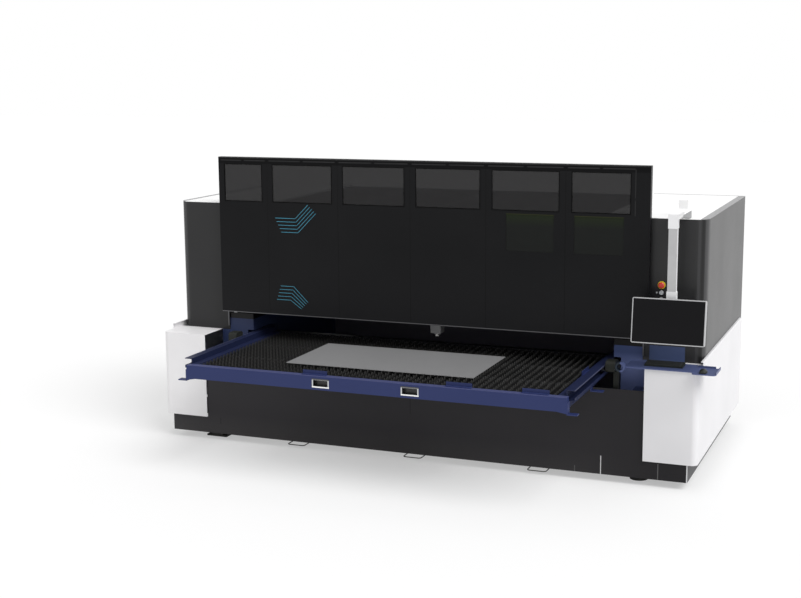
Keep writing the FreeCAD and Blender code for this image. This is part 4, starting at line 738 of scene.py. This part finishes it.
# %% Finishes of the door
finishes.update({
    "door_panel": powder("door_paint", BLACK, 0.36, shine=0.09, dust=0.0,
                         marks=[(door_foot, (0.0108, 0.0108, 0.012)), (door_seams, (0.0015, 0.0015, 0.0015)),
                                (door_crown, (0.0025, 0.0025, 0.003))]),
    "window_panes": tinted("smoked_pane", (0.0122, 0.0118, 0.0126), 0.862, shine=0.16),
    "viewing_panes": tinted("laser_pane", (0.0090, 0.0100, 0.0092), 0.99, shine=0.09,
                            top_colour=(0.0145, 0.0210, 0.0088), top_height=2.072, fade=0.10),
    "door_shoes": moulded("door_shoe_nylon", (0.02, 0.02, 0.02), 0.55),
})
print(len(finishes), "pieces have a finish")

# %% [markdown]
# ### Gantry and head
#
# Behind the door a dark beam carries an alloy carriage. The head is pale enamel, and its nozzle has a
# chrome skin that throws the slag off.

# %% Finishes of the gantry and the head
finishes.update({
    "gantry_beam": powder("gantry_paint", (0.035, 0.035, 0.037), 0.45),
    "gantry_saddles": powder("saddle_paint", (0.08, 0.08, 0.085), 0.45),
    "beam_tracks": worked("track_steel", (0.42, 0.42, 0.43), 0.22, along=(1, 60, 60)),
    "carriage": worked("carriage_alloy", (0.16, 0.16, 0.165), 0.4, along=(60, 60, 1)),
    "lift_motor": powder("motor_paint", (0.015, 0.015, 0.016), 0.5),
    "cutting_head": powder("head_enamel", (0.42, 0.43, 0.44), 0.35, dust=0.0),
    "nozzle": worked("nozzle_chrome", (0.50, 0.49, 0.47), 0.25, along=(2, 2, 40)),
})
print(len(finishes), "pieces have a finish")

# %% [markdown]
# ### Slag trays
#
# Three equal trays under the bed catch what falls through the slats. They are painted black and gather
# dust. One loop gives each of them such a paint.

# %% Finishes of the trays
for side in ("left", "middle", "right"):
    tray_paint = powder(side + "_tray_paint", (0.012, 0.012, 0.012), 0.6, shine=0.15, dust=0.1)
    finishes["slag_tray_" + side] = tray_paint
print(len(finishes), "pieces have a finish")

# %% [markdown]
# ### Screen and buttons
#
# A white arm and a pale mast hold the screen, whose frame is brushed alloy. The buttons are glossy
# plastic caps with a clear coat.

# %% Finishes of the screen and the buttons
finishes.update({
    "swing_arm": powder("arm_paint", (0.95, 0.95, 0.95), 0.4, dust=0.0),
    "arm_mast": powder("mast_paint", (0.80, 0.80, 0.81), 0.4, dust=0.0),
    "status_light": moulded("light_lens", (0.47, 0.47, 0.475), 0.3, coat=0.3),
    "screen_housing": worked("bezel_alloy", (0.47, 0.47, 0.48), 0.35, along=(1, 30, 30), metal=0.6),
    "screen_glass": tinted("screen_glass", (0.0045, 0.0043, 0.0052), 1.0, shine=0.1),
    "emergency_button": moulded("red_plastic", (0.66, 0.03, 0.015), 0.3, coat=0.5),
    "start_button": moulded("pale_button", (0.52, 0.54, 0.56), 0.35, coat=0.3),
    "stop_button": moulded("grey_button", (0.46, 0.48, 0.50), 0.35, coat=0.3),
})
print(len(finishes), "pieces have a finish")

# %% [markdown]
# ### Put the finishes on
#
# A drawn piece keeps its shape and its place. It only gets its material, and every piece needs one.

# %% Put the finishes on
for name, material in finishes.items():
    nodes[name].data.materials.clear()
    nodes[name].data.materials.append(material)
print(len(finishes), "finishes,", len(set(nodes) - set(finishes)), "pieces without one")

# %% [markdown]
# ## Floor
#
# The machine stands on a plain white floor that runs far past the picture's edge. It is one flat grid.
# Its paint is a little under white, so that it still shows the shadow under the machine. To the camera
# part of it shines plain white, which makes the shadow light, as in a picture with a cleared background.
# That part fades out under the bed, so that the floor seen through the machine's mouth stays dark.

# %% Floor
WHITE_SHARE = 0.42
FADE = 0.3


def make_object(shape, name, material):
    """Turns a bmesh into an object at the origin with one material."""
    mesh = bpy.data.meshes.new(name)
    shape.to_mesh(mesh)
    shape.free()
    made = bpy.data.objects.new(name, mesh)
    made.data.materials.append(material)
    bpy.context.scene.collection.objects.link(made)
    return made


ground = bmesh.new()
bmesh.ops.create_grid(ground, x_segments=1, y_segments=1, size=60)
floor_finish = Finish("studio_floor")
floor_finish.feed(base_color=(0.93, 0.93, 0.93), roughness=0.9, specular_ior_level=0.0)
seen = floor_finish.node("ShaderNodeLightPath", output="Is Camera Ray")
white = floor_finish.node("ShaderNodeEmission", inputs={"Color": (1.0, 1.0, 1.0), "Strength": 1.0})
paint = Tint(floor_finish.tree, floor_finish.shader.outputs[0])
bed_low, bed_high = spot(250, 380, 0), spot(4350, 2100, 0)
under = floor_finish.ramp(floor_finish.back, bed_low.y, bed_low.y + FADE)
under = under * floor_finish.ramp(floor_finish.back, bed_high.y, bed_high.y - FADE)
under = under * floor_finish.ramp(floor_finish.across, bed_low.x, bed_low.x + FADE)
under = under * floor_finish.ramp(floor_finish.across, bed_high.x, bed_high.x - FADE)
share = seen * (1 - under) * WHITE_SHARE
blend = floor_finish.node("ShaderNodeMixShader", inputs={0: share, 1: paint, 2: white})
surface = floor_finish.tree.nodes["Material Output"].inputs["Surface"]
floor_finish.tree.links.new(blend.socket, surface)
floor = make_object(ground, "floor", floor_finish.material)
print("the floor is", round(floor.dimensions.x), "metres wide")

# %% [markdown]
# ## Helpers for meshes
#
# Nearly every small piece starts as a block, a round bar or a ring. A block is Blender's cube, scaled
# and moved. A round bar is its cone with two equal radii, turned to its axis. Both take a bevel, since
# an edge with no radius never catches the light. A ring is a bar that is opened from cap to cap.

# %% Blocks, bars and rings
AXIS_TURN = {
    "x": Matrix.Rotation(math.pi / 2, 4, "Y"),
    "y": Matrix.Rotation(math.pi / 2, 4, "X"),
    "z": Matrix.Identity(4),
}


def soften(shape, edges, width, segments=2):
    """Rounds edges; the width is in metres."""
    bmesh.ops.bevel(shape, geom=edges, offset=width, offset_type="OFFSET", affect="EDGES", segments=segments,
                    profile=0.5, material=-1)


def edges_of(verts):
    """The edges at some vertices, each of them once."""
    return list(dict.fromkeys(e for v in verts for e in v.link_edges))


def faces_of(verts):
    """The faces at some vertices, each of them once."""
    return list(dict.fromkeys(f for v in verts for f in v.link_faces))


def add_block(shape, low, high, soft=0.0):
    """A block between two corners, in millimetres on the drawing."""
    low, high = spot(*low), spot(*high)
    size = high - low
    place = Matrix.Translation((low + high) / 2) @ Matrix.Diagonal((*size, 1))
    made = bmesh.ops.create_cube(shape, size=1, matrix=place)["verts"]
    if soft:
        soften(shape, edges_of(made), soft / 1000)
    return made


def add_bar(shape, radius, length, centre, axis, sides=24, soft=0.0):
    """A round bar, in millimetres; centre is the middle of its length."""
    place = Matrix.Translation(spot(*centre)) @ AXIS_TURN[axis]
    made = bmesh.ops.create_cone(shape, cap_ends=True, segments=sides, radius1=radius / 1000,
                                 radius2=radius / 1000, depth=length / 1000, matrix=place)["verts"]
    if soft:
        rims = [e for e in edges_of(made) if any(len(f.verts) > 4 for f in e.link_faces)]
        soften(shape, rims, soft / 1000)
    return made


def open_through(shape, faces, width):
    """Insets two opposite faces, takes them out and bridges their rims; the width is in metres."""
    bmesh.ops.inset_individual(shape, faces=faces, thickness=width, use_even_offset=True)
    rims = [e for f in faces for e in f.edges]
    bmesh.ops.delete(shape, geom=faces, context="FACES_ONLY")
    bmesh.ops.bridge_loops(shape, edges=rims)


def add_ring(shape, outer, inner, length, centre, axis, sides=32):
    """A flat ring: a bar that is opened from cap to cap."""
    made = add_bar(shape, outer, length, centre, axis, sides)
    caps = [f for f in faces_of(made) if len(f.verts) > 4]
    open_through(shape, caps, (outer - inner) / 1000)
    return made


print("blocks, bars and rings can be made")

# %% [markdown]
# The last helper finishes a piece. Its faces are turned outwards, because a bridge can leave them
# inside out, and its shading runs smoothly over edges flatter than 32 degrees and breaks at the
# sharper ones. Then the piece gets its material, and it rides on a body, so that it moves with it.

# %% Seat a piece
SHARP = math.radians(32)


def seat(shape, name, body, material, smooth=True):
    """Makes the piece: outward faces, a material and a body to ride on."""
    bmesh.ops.recalc_face_normals(shape, faces=shape.faces)
    for face in shape.faces:
        face.smooth = smooth
    if smooth:
        for edge in shape.edges:
            edge.smooth = len(edge.link_faces) == 2 and edge.calc_face_angle(0) < SHARP
    piece = make_object(shape, name, material)
    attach(piece, body)
    print(name, "has", len(piece.data.polygons), "faces")
    return piece


print("pieces can be seated")

# %% [markdown]
# ## Slats with fine teeth
#
# The table's bed is a row of thin steel slats, whose toothed upper edges touch the sheet only at their
# tips. The drawing has fifty-one of them with a few large teeth. The picture shows finer ones, so they
# are made again here: a cube is stretched into a strip, its long edges are cut into many pieces, and
# every second vertex of the upper edge is pulled down. Below, the strip steps over the cross members.

# %% One slat
TEETH = 26
TOOTH_HIGH = 0.026
SLAT_THICK = 0.003
END_LIFT, NOTCH_LIFT = 0.0125, 0.0265
NOTCH_REACH = 1.2
NOTCHES = [spot(0, y, 0).y for y in (-393.3, 103.3)]
slat_low, slat_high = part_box("slats")


def add_slat(shape, across):
    """One slat whose left face lies at a place along the machine, in metres."""
    size = Vector((SLAT_THICK, slat_high.y - slat_low.y, slat_high.z - slat_low.z))
    centre = Vector((across + SLAT_THICK / 2, (slat_low.y + slat_high.y) / 2, (slat_low.z + slat_high.z) / 2))
    strip = bmesh.new()
    bmesh.ops.create_cube(strip, size=1, matrix=Matrix.Translation(centre) @ Matrix.Diagonal((*size, 1)))
    long_edges = [e for e in strip.edges if abs(e.verts[0].co.y - e.verts[1].co.y) > 0.5]
    bmesh.ops.subdivide_edges(strip, edges=long_edges, cuts=2 * TEETH - 1, use_grid_fill=True)
    step = size.y / (2 * TEETH)
    for vert in strip.verts:
        index = round((vert.co.y - slat_low.y) / step)
        if vert.co.z > centre.z:
            vert.co.z -= TOOTH_HIGH * (index % 2 == 0)
        elif index in (0, 2 * TEETH):
            vert.co.z += END_LIFT
        elif min(abs(vert.co.y - place) for place in NOTCHES) < step * NOTCH_REACH:
            vert.co.z += NOTCH_LIFT
    piece = bpy.data.meshes.new("slat")
    strip.to_mesh(piece)
    strip.free()
    shape.from_mesh(piece)
    bpy.data.meshes.remove(piece)


print("a slat is", round(slat_high.y - slat_low.y, 3), "metres long")

# %% [markdown]
# The slats stand at an even pitch between the table's side tubes. Together they are one piece, and it
# takes the place of the drawn slats, so those are hidden.

# %% Row of slats
SLATS = 51
SLAT_PITCH = 0.0584
row = bmesh.new()
for index in range(SLATS):
    add_slat(row, slat_low.x + index * SLAT_PITCH)
slats = seat(row, "toothed_slats", "table", finishes["slats"], smooth=False)
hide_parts("slats")

# %% [markdown]
# ## Window gaskets
#
# Each window sits in a thin rubber frame. A frame is a flat block whose front and back are inset, opened
# and bridged, which is also how a picture frame could be made by hand. All of them lie on the door's
# front face, less than a millimetre proud of it.

# %% Window gaskets
DOOR_FACE = 236
WINDOWS = [(475, 836), (940, 1495), (1599, 2154), (2258, 2813), (2917, 3472), (3576, 4044)]


def add_frame(shape, low, high, width):
    """A rectangular frame that lies in the plane of the door, in millimetres."""
    made = add_block(shape, low, high)
    flats = [f for f in faces_of(made) if abs(f.normal.y) > 0.9]
    open_through(shape, flats, width / 1000)


rubber = moulded("gasket_rubber", (0.003, 0.003, 0.003), 0.7, shine=0.05)
gaskets = bmesh.new()
for left, right in WINDOWS:
    add_frame(gaskets, (left - 4, 235.2, 2093), (right + 4, DOOR_FACE, 2419), 7)
seat(gaskets, "window_gaskets", "door", rubber)

# %% [markdown]
# ## Upper edges of the viewing panes
#
# The two viewing panes below the windows have no frame, but laser glass glows a little yellow where its edge
# is cut. That glow is painted: one thin olive block lies along the upper edge of each.

# %% Upper edges of the viewing panes
VIEWERS = [(3035, 3432), (3598, 3995)]
glow = moulded("edge_glow", (0.024, 0.028, 0.009), 0.4, shine=0.1)
edges = bmesh.new()
for left, right in VIEWERS:
    add_block(edges, (left, 235.4, 2065), (right, DOOR_FACE, 2071))
seat(edges, "viewer_edges", "door", glow, smooth=False)

# %% [markdown]
# ## Edge strip
#
# A bright aluminium strip closes the door's lower edge; it is the pale line that runs under the door in
# the picture. It is one long block, a little rounded, since a bare edge at hand height must not cut.

# %% Edge strip
strip_alloy = worked("strip_alloy", (0.115, 0.115, 0.12), 0.35, along=(1, 40, 40))
strip = bmesh.new()
add_block(strip, (418, 232.5, 1114.5), (4199, DOOR_FACE, 1122), 0.6)
seat(strip, "door_edge_strip", "door", strip_alloy)

# %% [markdown]
# ## Trim round the windows
#
# Thin raised strips run along the door's top, over each window with a gap in the middle, and upright beside
# the last window. They are flat blocks in a paint a little paler than the door's, which is a painted
# highlight along them.

# %% Trim round the windows
trim_highlight_paint = powder("trim_highlight_paint", (0.021, 0.021, 0.022), 0.4, shine=0.15, dust=0.0)
trims = bmesh.new()
add_block(trims, (419, 235.3, 2466), (4198, DOOR_FACE, 2475.4))
for left, right in WINDOWS:
    middle = (left + right) / 2
    add_block(trims, (left - 34, 235.4, 2444), (middle - 14, DOOR_FACE, 2452))
    add_block(trims, (middle + 14, 235.4, 2444), (right + 34, DOOR_FACE, 2452))
for low, high in ((2224, 2444), (2085, 2206)):
    add_block(trims, (4078, 235.4, low), (4084, DOOR_FACE, high))
seat(trims, "window_trims", "door", trim_highlight_paint, smooth=False)

# %% [markdown]
# ## Line pattern on the door
#
# A plain pattern of thin blue lines brightens the left part of the door: two fans of nearly parallel
# lines, each a little longer than the last. A line bends once, so it is two very flat blocks that meet
# at the bend.

# %% One stroke
STROKE_WIDE, STROKE_THICK = 0.004, 0.0006


def add_stroke(shape, start, stop):
    """A flat straight line on the door's face, from one place to another, in millimetres."""
    a, b = spot(start[0], 235.7, start[1]), spot(stop[0], 235.7, stop[1])
    reach = b - a
    turn = Matrix.Rotation(-math.atan2(reach.z, reach.x), 4, "Y")
    size = Matrix.Diagonal((reach.length + STROKE_WIDE, STROKE_THICK, STROKE_WIDE, 1))
    bmesh.ops.create_cube(shape, size=1, matrix=Matrix.Translation((a + b) / 2) @ turn @ size)


print("a stroke is", STROKE_WIDE * 1000, "millimetres wide")

# %% Line pattern
LINES, LINE_GAP = 5, 30
blue_line = Finish("line_print")
fade = blue_line.noise(6, detail=2)
blue = blue_line.mix(fade, (0.03, 0.22, 0.33), (0.04, 0.30, 0.42))
blue_line.feed(base_color=blue, roughness=0.35)
print_lines = bmesh.new()
for index in range(LINES):
    drop = LINE_GAP * index
    high_bend, low_bend = (1150 + 6 * index, 1960 - drop), (1090 + 8 * index, 1250 + drop)
    add_stroke(print_lines, (960 + 14 * index, 1960 - drop), high_bend)
    add_stroke(print_lines, high_bend, (1270 + 18 * index, 2080 - 0.6 * drop))
    add_stroke(print_lines, (960 + 10 * index, 1250 + drop), low_bend)
    add_stroke(print_lines, low_bend, (1190 + 16 * index, 1180 + 0.5 * drop))
seat(print_lines, "door_lines", "door", blue_line.material, smooth=False)

# %% [markdown]
# ## Key caps
#
# The keyboard on its shelf is a wedge in the drawing. Key caps make it a keyboard: six rows of small
# blocks with soft edges, each standing on the sloping top. One key of the front row is long, and the
# first key of three rows is a little wider. The last key of a row is narrower where less room is left.

# %% Key caps
KEY_LEFT, KEY_RIGHT = 4224, 4503
KEY_ROWS, ROW_PITCH = 6, 19.2
KEY_WIDE, KEY_DEEP, KEY_GAP = 18, 17, 2.2
LONG_KEY = 96
LEAST_KEY = 12


def key_width(line, place):
    """The room of the key that starts at a place in a row, in millimetres."""
    if line == 0 and 4300 < place < 4316:
        return LONG_KEY
    if place == KEY_LEFT and line in (1, 2, 3):
        return KEY_WIDE + 4 * line
    return KEY_WIDE


keys = bmesh.new()
for line in range(KEY_ROWS):
    back = 61 + line * ROW_PITCH
    top = 958 + (back + 9 - 55) / 125 * 14
    place = KEY_LEFT
    while place < KEY_RIGHT - LEAST_KEY:
        wide = min(key_width(line, place), KEY_RIGHT - place)
        add_block(keys, (place, back, top - 1.5), (place + wide - KEY_GAP, back + KEY_DEEP, top + 3.0), 1.2)
        place += wide
seat(keys, "key_caps", "machine", moulded("key_plastic", (0.02, 0.022, 0.022), 0.5))

# %% [markdown]
# ## Mouse
#
# The mouse is a cube that is divided finely and pressed into shape: its top falls away to the front, the
# back and the sides, and its plan narrows towards the ends. Its sharp edges are rounded, and a wheel
# is added. Its shell takes the place of the drawn block.

# %% Mouse
low, high = spot(4655, -82, 948.2), spot(4715, 20, 982)
centre = (low + high) / 2
shell = bmesh.new()
bmesh.ops.create_cube(shell, size=1, matrix=Matrix.Translation(centre) @ Matrix.Diagonal((*(high - low), 1)))
bmesh.ops.subdivide_edges(shell, edges=shell.edges, cuts=3, use_grid_fill=True)
for vert in shell.verts:
    reach = (vert.co.y - centre.y) / (high.y - low.y) * 2
    side = (vert.co.x - centre.x) / (high.x - low.x) * 2
    share = (vert.co.z - low.z) / (high.z - low.z)
    vert.co.z = low.z + (vert.co.z - low.z) * (1 - 0.42 * (reach + 0.15) ** 2 - 0.25 * side ** 2)
    vert.co.x = centre.x + (vert.co.x - centre.x) * (1 - 0.16 * reach ** 2 - 0.14 * share)
    vert.co.y = centre.y + (vert.co.y - centre.y) * (1 - 0.10 * side ** 2)
sharp = [e for e in shell.edges if len(e.link_faces) == 2 and e.calc_face_angle(0) > 0.8]
soften(shell, sharp, 0.004, 3)
mouse = seat(shell, "mouse_shell", "machine", finishes["mouse"])
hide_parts("mouse")
wheel = bmesh.new()
add_bar(wheel, 7, 6, (4685, -54, 972), "x", soft=1)
seat(wheel, "mouse_wheel", "machine", rubber)

# %% [markdown]
# ## Button surrounds
#
# The start and stop buttons sit in round metal bezels, and a small lamp beside them shows that the
# machine is on. A bezel is a ring; the lamp is a short bar with a rounded edge.

# %% Button surrounds
bezel_steel = worked("bezel_steel", (0.5, 0.5, 0.51), 0.25, along=(6, 6, 6))
bezels = bmesh.new()
for height in (1485, 1432):
    add_ring(bezels, 20, 16.6, 5, (4287, 303.4, height), "y")
seat(bezels, "button_bezels", "machine", bezel_steel)
pilot_lens = moulded("pilot_lens", (0.62, 0.64, 0.66), 0.2, coat=0.5)
pilot = bmesh.new()
add_bar(pilot, 7, 5, (4250, 303.4, 1484), "y", soft=1.6)
seat(pilot, "pilot_lamp", "machine", pilot_lens)

# %% [markdown]
# ## Gusset of the swing arm
#
# The arm carries a screen at the end of a long mast. A grey plate stands at its right side above the roof's
# front edge. It is a thin block whose lower front corner is drawn up.

# %% Arm gusset
CORNER_RISE = 0.031
gusset_paint = powder("gusset_paint", (0.27, 0.27, 0.275), 0.45, dust=0.0)
plate = bmesh.new()
for vert in add_block(plate, (4487, 58, 2073), (4491, 373, 2128)):
    if vert.co.y < spot(0, 100, 0).y and vert.co.z < 2.1:
        vert.co.z += CORNER_RISE
soften(plate, list(plate.edges), 0.0008, 1)
seat(plate, "arm_gusset", "arm", gusset_paint, smooth=False)

# %% [markdown]
# ## Nuts, bolts and screws
#
# Sheet metal is held by many small screws. They are made as low heads with a soft rim, and placed where
# such covers are fixed: along the rear edges and round the fume spigot. The feet get their hexagon
# nuts, and the sole plates the heads of their anchor bolts: a bar with six sides is a hexagon.

# %% Foot nuts and anchor bolts
BOLT_SPREAD = 82.5
zinc = worked("zinc_plated", (0.42, 0.42, 0.41), 0.32, along=(6, 6, 6), spots=0.3)
fixings = bmesh.new()
for back in (195, 1975):
    add_bar(fixings, 26, 20, (4165, back, 38), "z", sides=6, soft=1.5)
    for across in (-BOLT_SPREAD, BOLT_SPREAD):
        add_bar(fixings, 15, 10, (392.5 + across, back, 20), "z", sides=6, soft=1)
seat(fixings, "foot_nuts", "machine", zinc)

# %% Screws
RING_RADIUS, RING_SCREWS = 144, 12
SCREW_PITCH = 340


def add_screw(shape, centre, axis, radius=7.0):
    """A low screw head with a soft rim."""
    add_bar(shape, radius, 4, centre, axis, sides=14, soft=1.2)


screws = bmesh.new()
for index in range(RING_SCREWS):
    turn = index * math.pi / 6 + 0.26
    across, up = 2300 + RING_RADIUS * math.cos(turn), 420 + RING_RADIUS * math.sin(turn)
    add_screw(screws, (across, 2157.5, up), "y", 6)
for across in range(60, 4560, SCREW_PITCH):
    for up in (900, 110):
        add_screw(screws, (across, 2153.5, up), "y")
seat(screws, "rear_screws", "machine", zinc)

# %% [markdown]
# ## Damper in the fume spigot
#
# The fan's duct is pushed over the spigot at the back. A round plate on a shaft can close its bore, so
# that the fumes are drawn only while the machine cuts. It is a thin bar with a slim one across it.

# %% Duct damper
damper = bmesh.new()
add_bar(damper, 122.6, 2, (2300, 2192, 420), "y", sides=64)
add_bar(damper, 5, 245.4, (2300, 2190, 420), "x", sides=16)
damper_paint = powder("damper_paint", (0.012, 0.012, 0.013), 0.5, shine=0.2, dust=0.0)
seat(damper, "duct_damper", "machine", damper_paint)

# %% [markdown]
# ## Cutting head
#
# Little of the head shows under the door, but it is what the machine is for. The drawing has its body,
# cone and nozzle. A grey guard stands round the cone: a block that is opened from top to bottom like a
# sleeve. Its walls are less than half a millimetre thick, so the cone has room inside.

# %% Head guard
guard_paint = powder("guard_paint", (0.27, 0.27, 0.275), 0.4, dust=0.0)
guard = bmesh.new()
sleeve = add_block(guard, (2319, 404, 1013), (2411, 496, 1092))
mouths = [f for f in faces_of(sleeve) if abs(f.normal.z) > 0.9]
open_through(guard, mouths, 0.0004)
seat(guard, "head_guard", "head", guard_paint, smooth=False)

# %% [markdown]
# Below the guard a sensor collar lies round the cone, and two gas fittings with hexagon nuts stand out
# at the sides of the body above. They are rings and bars, and one loop makes both sides.

# %% Head fittings
fitting_steel = worked("fitting_steel", (0.5, 0.5, 0.5), 0.28, along=(5, 5, 5))
trim = bmesh.new()
add_ring(trim, 27, 21.5, 9, (2365, 450, 989), "z", sides=48)
for side in (-1, 1):
    add_bar(trim, 9, 26, (2365 + side * 56, 450, 1180), "x", sides=20, soft=1)
    add_bar(trim, 12, 10, (2365 + side * 52, 450, 1180), "x", sides=6, soft=1)
seat(trim, "head_fittings", "head", fitting_steel)
